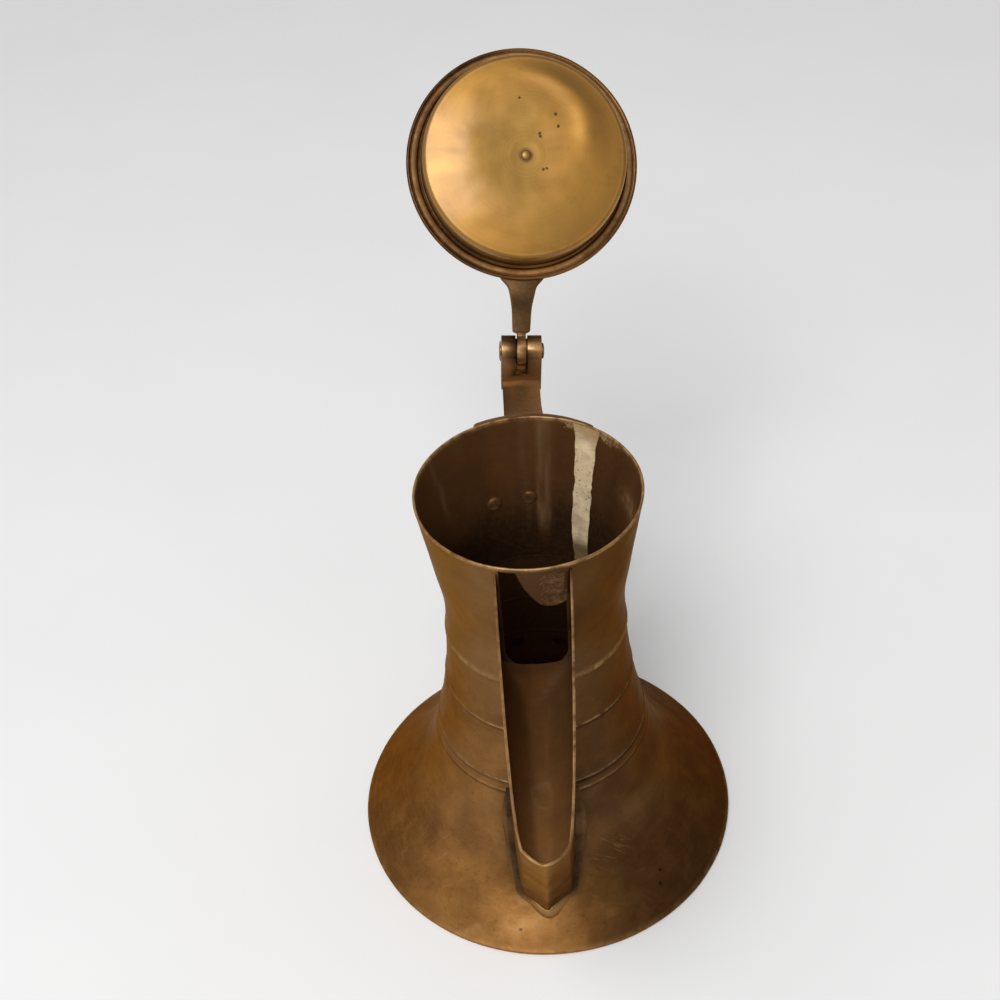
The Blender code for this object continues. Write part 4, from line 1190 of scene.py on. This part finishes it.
def make_pin(look):
    half = 0.5 * FORK_WIDTH + FIT
    turns = (0.4, 0.8, 1.2, BACK)
    profile = [(0.0, half + 0.0010)]
    profile += [(HEAD_RADIUS * sin(t), half + 0.0004 + 0.0006 * cos(t)) for t in turns]
    profile += [(HEAD_RADIUS, half), (PIN_RADIUS, half), (PIN_RADIUS, -half), (PEEN_RADIUS, -half)]
    profile += [(PEEN_RADIUS * sin(t), -half - 0.0003 - 0.0004 * cos(t)) for t in turns[::-1]]
    profile += [(0.0, -half - 0.0007)]
    pin = lathe("fork_pin", profile, 48, closed=False)
    pin.data.transform(Matrix.Translation(PIN) @ Matrix.Rotation(BACK, 4, "Y"))
    place(leaned(pin), "polished_brass", look, "hinge_pin")


# The lid, whose flange lies just above the rim, at LID_LOW


FLANGE_RADIUS = 0.0482
FLANGE_THICKNESS = 0.0016
OUTER_GROOVE = 0.0466
INNER_GROOVE = 0.0432
FLANGE_RINGS = ((0.40, 0.0452, 0.0009), (0.22, 0.0473, 0.0004))
DOME_RADIUS = 0.0436
DOME_BAND = 0.0048
DOME_LEDGE = 0.0022
DOME_HEIGHT = 0.0255
DOME_TOP_RADIUS = 0.0070
DOME_HOLE = 0.0020
LID_WALL = 0.0012
LID_ROUND = 0.0006
LID_LOW = RIM_HEIGHT + FIT
SEAT = LID_LOW + FLANGE_THICKNESS
PLUG_RADIUS = 0.0420
PLUG_DEPTH = 0.0130
PAN_BOTTOM = LID_LOW - PLUG_DEPTH
PAN_TAPER = 0.0002
PAN_EDGE = 0.0020
PAN_RISE = 0.0026
PAN_CREST = 0.42
PAN_RIDGE = (-0.0041, -0.0075)
PAN_RIDGE_RADIUS = 0.0300
PAN_RIDGE_HEIGHT = 0.0009


def make_lid_shell(look):
    """Flange with its turned rings, upright band and dome, one shell."""
    crown = SEAT + DOME_HEIGHT
    shoulder = SEAT + DOME_BAND
    half = 0.5 * FLANGE_THICKNESS

    def dome(turns, wall):
        reach = DOME_RADIUS - DOME_LEDGE - wall - DOME_TOP_RADIUS
        return [(DOME_TOP_RADIUS + reach * cos(t),
                 shoulder + (crown - wall - shoulder) * sin(t) ** 1.15) for t in turns]

    profile = [(DOME_HOLE, crown)] + dome(spaced(BACK, 0.0, 40), 0.0)
    profile += arc((DOME_RADIUS - LID_ROUND, shoulder - 0.0008), LID_ROUND, BACK, 0.0, 5)
    profile += [(DOME_RADIUS, SEAT + LID_ROUND)]
    profile += arc((DOME_RADIUS + LID_ROUND, SEAT + LID_ROUND), LID_ROUND, pi, 1.5 * pi, 4)
    profile += arc((FLANGE_RADIUS - half, LID_LOW + half), half, BACK, -BACK, 10)
    for share in shares(48)[1:]:
        r = lerp(FLANGE_RADIUS - half, PLUG_RADIUS + FIT, share)
        cut = 0.00025 * bell(r, OUTER_GROOVE, 0.00035) + 0.0004 * bell(r, INNER_GROOVE, 0.00045)
        dish = 0.00010 * (1.0 - bell(r, 0.0450, 0.0012))
        profile.append((r, LID_LOW + min(cut + dish, 0.75 * FLANGE_THICKNESS)))
    profile += [(PLUG_RADIUS + FIT, SEAT), (DOME_RADIUS - LID_WALL, SEAT)]
    profile += dome(spaced(0.0, BACK, 30), LID_WALL) + [(DOME_HOLE, crown - LID_WALL)]
    shell = lathe("lid_shell", profile, warp=dent(60.0, 0.0002, 9.0))
    place(shell, "patinated_brass", look, "lid_dome", "lid", wear=shell_wear, grime=shell_grime,
          gilt=lambda p: 0.35 + 0.4 * rough(p, 50.0, 12.0))


def shell_grime(p):
    """Under the flange: painted shade, faint all over, heavy on the left and lighter on the right, and
    darker in the two turned grooves; above it, darker in the corner by the dome.
    """
    radius = hypot(p.x, p.y)
    if p.z < SEAT - 0.0002:
        sides = 0.70 * step(0.000, -0.026, p.x) + 0.30 * step(0.010, 0.034, p.x)
        grooves = 0.25 * bell(radius, OUTER_GROOVE, 0.0005) + 0.2 * bell(radius, 0.0430, 0.0007)
        return min(0.92, 0.08 + sides + grooves)
    return 0.5 * bell(radius, DOME_RADIUS + 0.0006, 0.0012) * (p.z < SEAT + 0.002)


def shell_wear(p):
    radius = hypot(p.x, p.y)
    ring = sum(bright * bell(radius, at, width) for bright, at, width in FLANGE_RINGS)
    # The rings are dimmed on the left as painted shade
    ring *= (p.z < LID_LOW + 0.0007) * (1.0 - 0.8 * step(0.000, -0.026, p.x))
    return min(1.0, ring * (0.9 + 0.4 * rough(p, 60.0, 3.0)))


def make_pan(look):
    """Plug that closes the lid: a dished pan with a soft raised ring, turned marks and dents."""
    top = SEAT + 0.6 * DOME_BAND
    side = PLUG_RADIUS - PAN_TAPER
    flat = side - PAN_EDGE
    profile = [(PLUG_RADIUS - 0.0010, top), (PLUG_RADIUS, top), (PLUG_RADIUS, LID_LOW)]
    for share in shares(12)[1:-1]:
        crease = 0.0003 * bell(share, 0.25, 0.10)
        profile.append((lerp(PLUG_RADIUS, side, share) - crease,
                        lerp(LID_LOW, PAN_BOTTOM + PAN_EDGE, share)))
    profile += arc((flat, PAN_BOTTOM + PAN_EDGE), PAN_EDGE, 0.0, -BACK, 12)
    profile += [(flat * share, PAN_BOTTOM - pan_rise(share)) for share in spaced(1.0, 0.0, 60)[1:]]
    pan = lathe("lid_pan", profile, 256, closed=False, warp=pan_warp)
    place(pan, "polished_brass", look, "lid_plug", "lid", grime=pan_grime)


def pan_rise(share):
    """How far the pan's face stands out, from its middle at 0 to its edge at 1."""
    if share > PAN_CREST:
        return PAN_RISE * (1.0 - ((share - PAN_CREST) / (1.0 - PAN_CREST)) ** 2)
    mark = 0.00003 * bell(share, 0.155, 0.03) - 0.00006 * bell(share, 0.0, 0.10)
    return PAN_RISE * (0.95 + 0.05 * step(0.12, PAN_CREST, share)) + mark


def pan_warp(point):
    """Broad unevenness of the pan's face, with one long soft ridge at its upper right."""
    radius = hypot(point.x, point.y)
    inner = 1.0 - step(0.032, 0.0400, radius)
    below = 1.0 if point.z < RIM_HEIGHT - 0.5 * PLUG_DEPTH else 0.0
    dents = 0.0004 * rough(point, 34.0, 4.0) + 0.00010 * rough(point, 120.0, 8.0)
    x, y = point.x - PAN_RIDGE[0], point.y - PAN_RIDGE[1]
    turn = atan2(-y, x)
    ridge = PAN_RIDGE_HEIGHT * bell(hypot(x, y), PAN_RIDGE_RADIUS, 0.0055)
    ridge *= band(turn, -0.45, 0.10, 1.05, 1.75)
    return point + UP * ((dents - ridge) * inner * below)


def pan_grime(p):
    """Painted shade on the pan's side, lighter in a band part way up it, and round its peened middle;
    patchy soiling in its lower corner.
    """
    radius = hypot(p.x, p.y)
    side = step(PAN_BOTTOM + 0.0030, PAN_BOTTOM + 0.0050, p.z)
    foot = 0.35 * bell(radius, 0.0405, 0.0008) * (0.5 + rough(p, 120.0))
    return min(0.9, 0.60 * side * (1.0 - 0.5 * bell(p.z, RIM_HEIGHT - 0.0050, 0.0016))
               + max(foot, 0.0) + 0.7 * bell(radius, 0.0025, 0.0006))


COLLAR_RADIUS = 0.0098
COLLAR_HEIGHT = 0.0042
KNOB_RADIUS = 0.0072
KNOB_FOOT = 0.0040
TANG_RADIUS = 0.0017
PEENED_RADIUS = 0.0022
PEENED_HEIGHT = 0.0010
FINIAL_HEIGHT = 0.0330
# Radius of the finial's spire from its tip down, as (place, share of the knob's radius)
SPIRE = ((0.0, 0.0), (0.09, 0.15), (0.30, 0.27), (0.56, 0.36), (0.80, 0.22), (0.93, 0.45),
         (1.05, 0.46))


def make_finial(look, collar_look):
    base = SEAT + DOME_HEIGHT + FIT
    collar = [(TANG_RADIUS, base), (0.92 * DOME_TOP_RADIUS, base)]
    collar += [(COLLAR_RADIUS - 0.0008 * (1 - sin(t)), base + COLLAR_HEIGHT * (0.45 - 0.2 * cos(t)))
               for t in (0.0, 0.6, 1.1, BACK, 2.0, 2.6, pi)]
    collar += [(0.6 * COLLAR_RADIUS, base + COLLAR_HEIGHT), (TANG_RADIUS, base + COLLAR_HEIGHT)]
    place(lathe("finial_base", collar, 64), "cast_brass", collar_look, "finial_collar", "lid")
    base += COLLAR_HEIGHT + FIT
    ball = base + KNOB_FOOT + KNOB_RADIUS
    tip = base + FINIAL_HEIGHT
    spire = tip - ball - KNOB_RADIUS
    under = PAN_BOTTOM - pan_rise(0.0)
    profile = [(0.0, tip)]
    for share in shares(30)[1:]:
        along = SPIRE[-1][0] * share
        profile.append((KNOB_RADIUS * max(smooth_through(SPIRE, along), 0.02), tip - along * spire))
    profile += arc((0.0, ball), KNOB_RADIUS, radians(60), radians(-62), 16)
    profile += [(0.45 * KNOB_RADIUS, base + 0.4 * KNOB_FOOT), (0.52 * KNOB_RADIUS, base + 0.0004),
                (0.6 * KNOB_RADIUS, base), (TANG_RADIUS, base), (TANG_RADIUS, under)]
    profile += [(PEENED_RADIUS * cos(t) ** 0.7, under - PEENED_HEIGHT * sin(t))
                for t in (0.0, 0.3, 0.6, 0.9, 1.2)]
    profile += [(0.0, under - PEENED_HEIGHT)]
    place(lathe("lid_finial", profile, 64, closed=False), "polished_brass", look, "finial", "lid")


LID_ARM_NARROW = 0.0076
LID_ARM_FAN = 0.0185
LID_ARM_THICKNESS = 0.0034
HEEL = ((-0.0030, -0.0094), (0.0030, -0.0094))


def make_lid_arm(look):
    y, z = PIN.y, PIN.z
    half = 0.5 * LID_ARM_THICKNESS
    edge = y - FLANGE_RADIUS
    end = y - DOME_RADIUS + LID_ARM_THICKNESS
    low = SEAT + FIT + half
    narrow, fan = LID_ARM_NARROW, LID_ARM_FAN
    widths = [(0.0, 0.9 * narrow), (0.40 * edge, narrow), (0.62 * edge, 1.10 * narrow),
              (0.78 * edge, 1.32 * narrow), (0.92 * edge, 0.66 * fan), (1.06 * edge, fan),
              (end, 0.9 * fan)]
    rises = [(0.0, 0.0), (1.12 * KNUCKLE, 0.06), (0.40 * edge, 0.20), (0.62 * edge, 0.50),
             (0.78 * edge, 0.90), (0.92 * edge, 1.0), (1.06 * edge, 1.0), (end, 1.0)]
    rows = []
    bevelled = 0.35 * half
    for away in spaced(0.0, end, 80):
        shoulder = step(1.10 * KNUCKLE, 1.24 * KNUCKLE, away)
        w = 0.5 * lerp(TONGUE, smooth_through(widths, away), shoulder)
        centre = lerp(z, low, min(smooth_through(rises, away), 1.0))
        corners = []
        for quarter, (a, b) in enumerate(((1, 1), (-1, 1), (-1, -1), (1, -1))):
            corners += arc((a * (w - bevelled), b * (half - bevelled)), bevelled,
                           quarter * BACK, (quarter + 1) * BACK, 3)
        rows.append([(a, y - away, centre + b) for a, b in corners])
    arm = rod("lid_bar", rows)
    turn = Matrix.Rotation(OPEN_ANGLE, 2)
    points = arc((0.0, 0.0), KNUCKLE - FIT, radians(-55), radians(235), 40) + [*HEEL]
    heel = [turn @ Vector(point) for point in points]
    knuckle = prism("knuckle", [(y + p.x, z + p.y) for p in heel], -0.5 * TONGUE, 0.5 * TONGUE)
    boolean(arm, leaned(knuckle), "UNION")
    flanks = prism("flanks", arc((y, z), FLANK_RADIUS, 0.0, 2 * pi * 31 / 32, 31), -FLANK, FLANK)
    boolean(arm, leaned(flanks), "UNION")
    wall, crown, foot = DOME_RADIUS + SINK, SEAT + DOME_HEIGHT, SEAT - 0.01
    boolean(arm, lathe("core", [(0.0, crown), (wall, crown), (wall, foot), (0.0, foot)]))
    bevel(arm, 0.0003, 2, 50.0)
    place(arm, "cast_brass", look, "lid_arm", "lid", grime=arm_grime, wear=arm_wear)


def arm_grime(p):
    """Painted shade on the two round bosses beside the tongue."""
    beside = abs(p.x) > 0.5 * TONGUE + 0.0001
    return 0.80 * beside * (hypot(p.y - PIN.y, p.z - PIN.z) < 1.02 * FLANK_RADIUS)


def arm_wear(p):
    """Light rubbing all over, and a bright spot where the tongue rubs, part polish and part painted
    highlight, seen with the lid open.
    """
    tongue = bell(hypot(p.y - PIN.y + 0.0048, p.z - PIN.z + 0.0040), 0.0, 0.0030)
    return max(tongue * (abs(p.x) < 0.5 * TONGUE), 0.16)


# Handle, plates and rivets


HANDLE_TOP = 0.1550
HANDLE_LOW = 0.0585
HANDLE_REACH = 0.0980
HANDLE_WIDTH = 0.0125
HANDLE_DEPTH = 0.0085
HANDLE_ROOT = 0.0020
PLATE = 0.0015
# Half height and half angle of the handle's plates
TOP_PLATE = (0.0070, radians(31.0))
FOOT_PLATE = (0.0110, radians(17.0))
SIDE_RIVET_TURN = radians(-23.0)
FOOT_RIVET_TURN = radians(12.0)


def handle_line(t):
    top, low = HANDLE_TOP, HANDLE_LOW
    inner = pot_radius(top) - HANDLE_ROOT
    foot = pot_radius(low) - HANDLE_ROOT
    tall = top - low
    reach = HANDLE_REACH
    knots = [(inner, top), (inner + 0.35 * (reach - inner), top + 0.09 * tall),
             (inner + 0.78 * (reach - inner), top + 0.02 * tall), (reach, top - 0.30 * tall),
             (0.95 * reach, top - 0.56 * tall), (lerp(reach, foot, 0.48), top - 0.83 * tall),
             (foot, low)]
    return Vector((0.0, *curve_through(knots, t)))


def make_handle(look):
    rows = []
    across = Vector((1.0, 0.0, 0.0))
    for share in shares(120):
        centre = handle_line(share)
        ahead = handle_line(min(share + 0.004, 1.0)) - handle_line(max(share - 0.004, 0.0))
        normal = ahead.normalized().cross(across)
        swell = 0.80 + 0.20 * sin(pi * share)
        pinch = 1.0 - 0.10 * (bell(share, 0.14, 0.012) + bell(share, 0.86, 0.012))
        row = []
        for t in round_turns(32):
            a, b = [copysign(abs(part) ** 0.8, part) for part in (cos(t), sin(t))]
            worn = 1.0 + 0.02 * rough(centre + across * a * 0.005, 130.0, 5.0)
            row.append(centre + across * (0.5 * HANDLE_WIDTH * swell * pinch * worn * a)
                       + normal * (0.5 * HANDLE_DEPTH * swell * pinch * worn * b))
        rows.append(row)
    handle = rod("c_handle", rows, 60.0)
    gap = FIT + 0.8 * PLATE
    wall = [(pot_radius(z) + gap, z) for z in reversed(levels(FOOT_LAND, RIM_HEIGHT, 0.003))]
    boolean(handle, lathe("core", [(0.0, RIM_HEIGHT)] + wall + [(0.0, 0.0)], 96))
    place(handle, "cast_brass", look, "handle")


def make_plate(name, node, height, half_height, span, look):
    """Plate on the wall under an end of the handle, with rounded corners."""
    rises = spaced(-1.0, 1.0, 14)
    rows = []
    for outer, way in ((False, rises), (True, rises[::-1])):
        for s in way:
            row = []
            for a in spaced(-1.0, 1.0, 32):
                z = height + s * half_height * (1.0 - 0.30 * abs(a) ** 5)
                turn = BACK + a * span * (1.0 - 0.06 * abs(s) ** 4)
                crown = FIT + PLATE * (1.0 - 0.25 * max(abs(s), abs(a)) ** 8)
                radius = pot_radius(z) + (crown if outer else SINK)
                row.append(Vector((radius * cos(turn), radius * sin(turn), z)))
            rows.append(row)
    plate = grid_mesh(name, rows + [rows[0]])
    cap_holes(plate)
    place(plate, "cast_brass", look, node)


RIVET_HEAD = 0.0032
RIVET_RISE = 0.0009
RIVET_SHANK = 0.0015
RIVET_BED = 0.0004


def make_rivet(name, node, height, angle, look, headed=True):
    """Hammered rivet: a low dome inside and, unless it ends in the handle, one outside."""
    upper = height > JOINT_HEIGHT
    inner = pot_radius(height) - (NECK_WALL if upper else BODY_WALL)
    outer = pot_radius(height) + PLATE + FIT
    dome = [(RIVET_HEAD * cos(t) ** 0.6, RIVET_RISE * sin(t))
            for t in (0.0, 0.25, 0.5, 0.8, 1.1, 1.35)]
    profile = [(0.0, inner - FIT - RIVET_RISE)]
    profile += [(r, inner - FIT - h) for r, h in reversed(dome)]
    profile += [(RIVET_HEAD, inner + RIVET_BED), (RIVET_SHANK, inner + RIVET_BED)]
    if headed:
        profile += [(RIVET_SHANK, outer), (RIVET_HEAD, outer - RIVET_BED)]
        profile += [(r, outer + h) for r, h in dome]
        profile += [(0.0, outer + RIVET_RISE)]
    else:
        profile += [(RIVET_SHANK, outer + 0.002), (0.0, outer + 0.002)]
    rivet = lathe(name, profile, 32, closed=False)
    rivet.data.transform(Matrix.Translation((0, 0, height)) @ Matrix.Rotation(BACK - angle, 4, "Z")
                         @ Matrix.Rotation(BACK, 4, "Y"))
    for vertex in rivet.data.vertices:
        vertex.co += 0.00012 * Vector((rough(vertex.co, 600.0), rough(vertex.co, 600.0, 5.0), 0.0))
    # Painted shade on the heads inside the pot, light in the mouth and heavy in the body
    place(rivet, "rivet_brass", look, node, stain=lambda p: 0.30 * (0.5 + rough(p, 500.0, 2.0)),
          grime=lambda p: (0.20 if upper else 0.80) * (hypot(p.x, p.y) < pot_radius(height)),
          wear=lambda p: 0.85 * upper * bell(p.z, height - 0.0024, 0.0010))


# Stage


WORLD_LEFT = 0.62
WORLD_RIGHT = 0.32
KEY_SPOT = (-0.44, -1.15, 1.95)
KEY_AIM = (0.0, 0.0, 0.12)
KEY_SIZE = 1.25
KEY_POWER = 31.0


def make_camera():
    turn = Matrix.Rotation(CAMERA_TURN, 3, "Z")
    spot = turn @ Vector((0.0, -CAMERA_OUT, CAMERA_HEIGHT))
    level = Vector((-sin(CAMERA_YAW), cos(CAMERA_YAW), 0.0))
    ahead = turn @ (cos(CAMERA_PITCH) * level - sin(CAMERA_PITCH) * UP)
    right = ahead.cross(UP).normalized()
    above = right.cross(ahead)
    side = cos(CAMERA_ROLL) * right + sin(CAMERA_ROLL) * above
    head = cos(CAMERA_ROLL) * above - sin(CAMERA_ROLL) * right
    camera = bpy.data.objects.new("camera", bpy.data.cameras.new("camera"))
    camera.data.lens = LENS
    camera.data.sensor_width = SENSOR
    camera.data.clip_start = 0.01
    camera.matrix_world = (Matrix.Translation(spot)
                           @ Matrix((side, head, -ahead)).transposed().to_4x4())
    bpy.context.scene.collection.objects.link(camera)
    bpy.context.scene.camera = camera


def make_key_lamp():
    lamp = bpy.data.lights.new("key", "AREA")
    lamp.shape = "ELLIPSE"
    lamp.size = lamp.size_y = KEY_SIZE
    lamp.energy = KEY_POWER
    made = bpy.data.objects.new("key", lamp)
    made.location = KEY_SPOT
    made.rotation_euler = (Vector(KEY_AIM) - made.location).to_track_quat("-Z", "Y").to_euler()
    bpy.context.scene.collection.objects.link(made)


def make_floor():
    floor = lathe("floor", [(0.0, 0.0), (0.5, 0.0), (6.0, 0.0)], 96, closed=False)
    floor.location.z = -0.0002
    look = Look("floor_white", metallic=0.0)
    paper = look.mix(look.span(look.noise(9.0), 0.3, 0.7), *FLOOR_WHITES)
    paint_place(floor)
    floor.data.materials.append(look.end(Base_Color=paper, Roughness=0.9))


def make_world():
    """Pale room, brighter on the left than on the right."""
    world = bpy.data.worlds.new("studio")
    bpy.context.scene.world = world
    world.use_nodes = True
    nodes = Nodes(world.node_tree)
    way = nodes.node("ShaderNodeTexCoord").outputs["Generated"]
    across = nodes.node("ShaderNodeSeparateXYZ", Vector=way).outputs["X"]
    back = nodes.tree.nodes["Background"].inputs
    nodes.put(back["Strength"], nodes.span(across, -0.9, 0.9, WORLD_LEFT, WORLD_RIGHT))
    nodes.put(back["Color"], (1.0, 1.0, 1.0))


def main():
    bpy.context.scene.view_settings.view_transform = "Standard"
    outer = patina("worn_patina")
    beak = patina("beak_patina", 0.50, edge=BEAK_TINT)
    dull = patina("dull_patina", 0.38, (900.0, 12.0, 12.0), 0.8)
    pale = solder("pale_solder", *PALE_SOLDER, 0.10)
    # Old solder, dark as painted shade along the spout's foot
    tin = solder("old_solder", *OLD_SOLDER, 1.0)
    bright = pan_brass("rubbed_brass")
    cast = cast_brass("filed_brass")
    hammered = cast_brass("hammered_brass", 0.34, HAMMERED_DARK, HAMMERED_MIDDLE)

    make_body(outer)
    make_neck(outer)
    make_seam(pale)
    make_spout(beak)
    make_spout_floor(dull)
    make_bead(tin)
    make_strap(cast)
    make_bracket(cast)
    make_pin(hammered)
    make_lid_shell(outer)
    make_pan(bright)
    make_finial(bright, cast)
    make_lid_arm(cast)
    make_handle(cast)
    make_plate("upper_plate", "handle_top_plate", HANDLE_TOP, *TOP_PLATE, cast)
    make_plate("foot_plate", "handle_foot_plate", HANDLE_LOW, *FOOT_PLATE, cast)
    make_rivet("mouth_rivet_side", "top_rivet_side", HANDLE_TOP, SIDE_RIVET_TURN, dull)
    make_rivet("mouth_rivet_middle", "top_rivet_centre", HANDLE_TOP, 0.0, dull, headed=False)
    make_rivet("foot_rivet_a", "foot_rivet_left", HANDLE_LOW, -FOOT_RIVET_TURN, hammered)
    make_rivet("foot_rivet_b", "foot_rivet_right", HANDLE_LOW, FOOT_RIVET_TURN, hammered)
    make_base(dull, tin)

    make_camera()
    make_floor()
    make_world()
    make_key_lamp()


main()
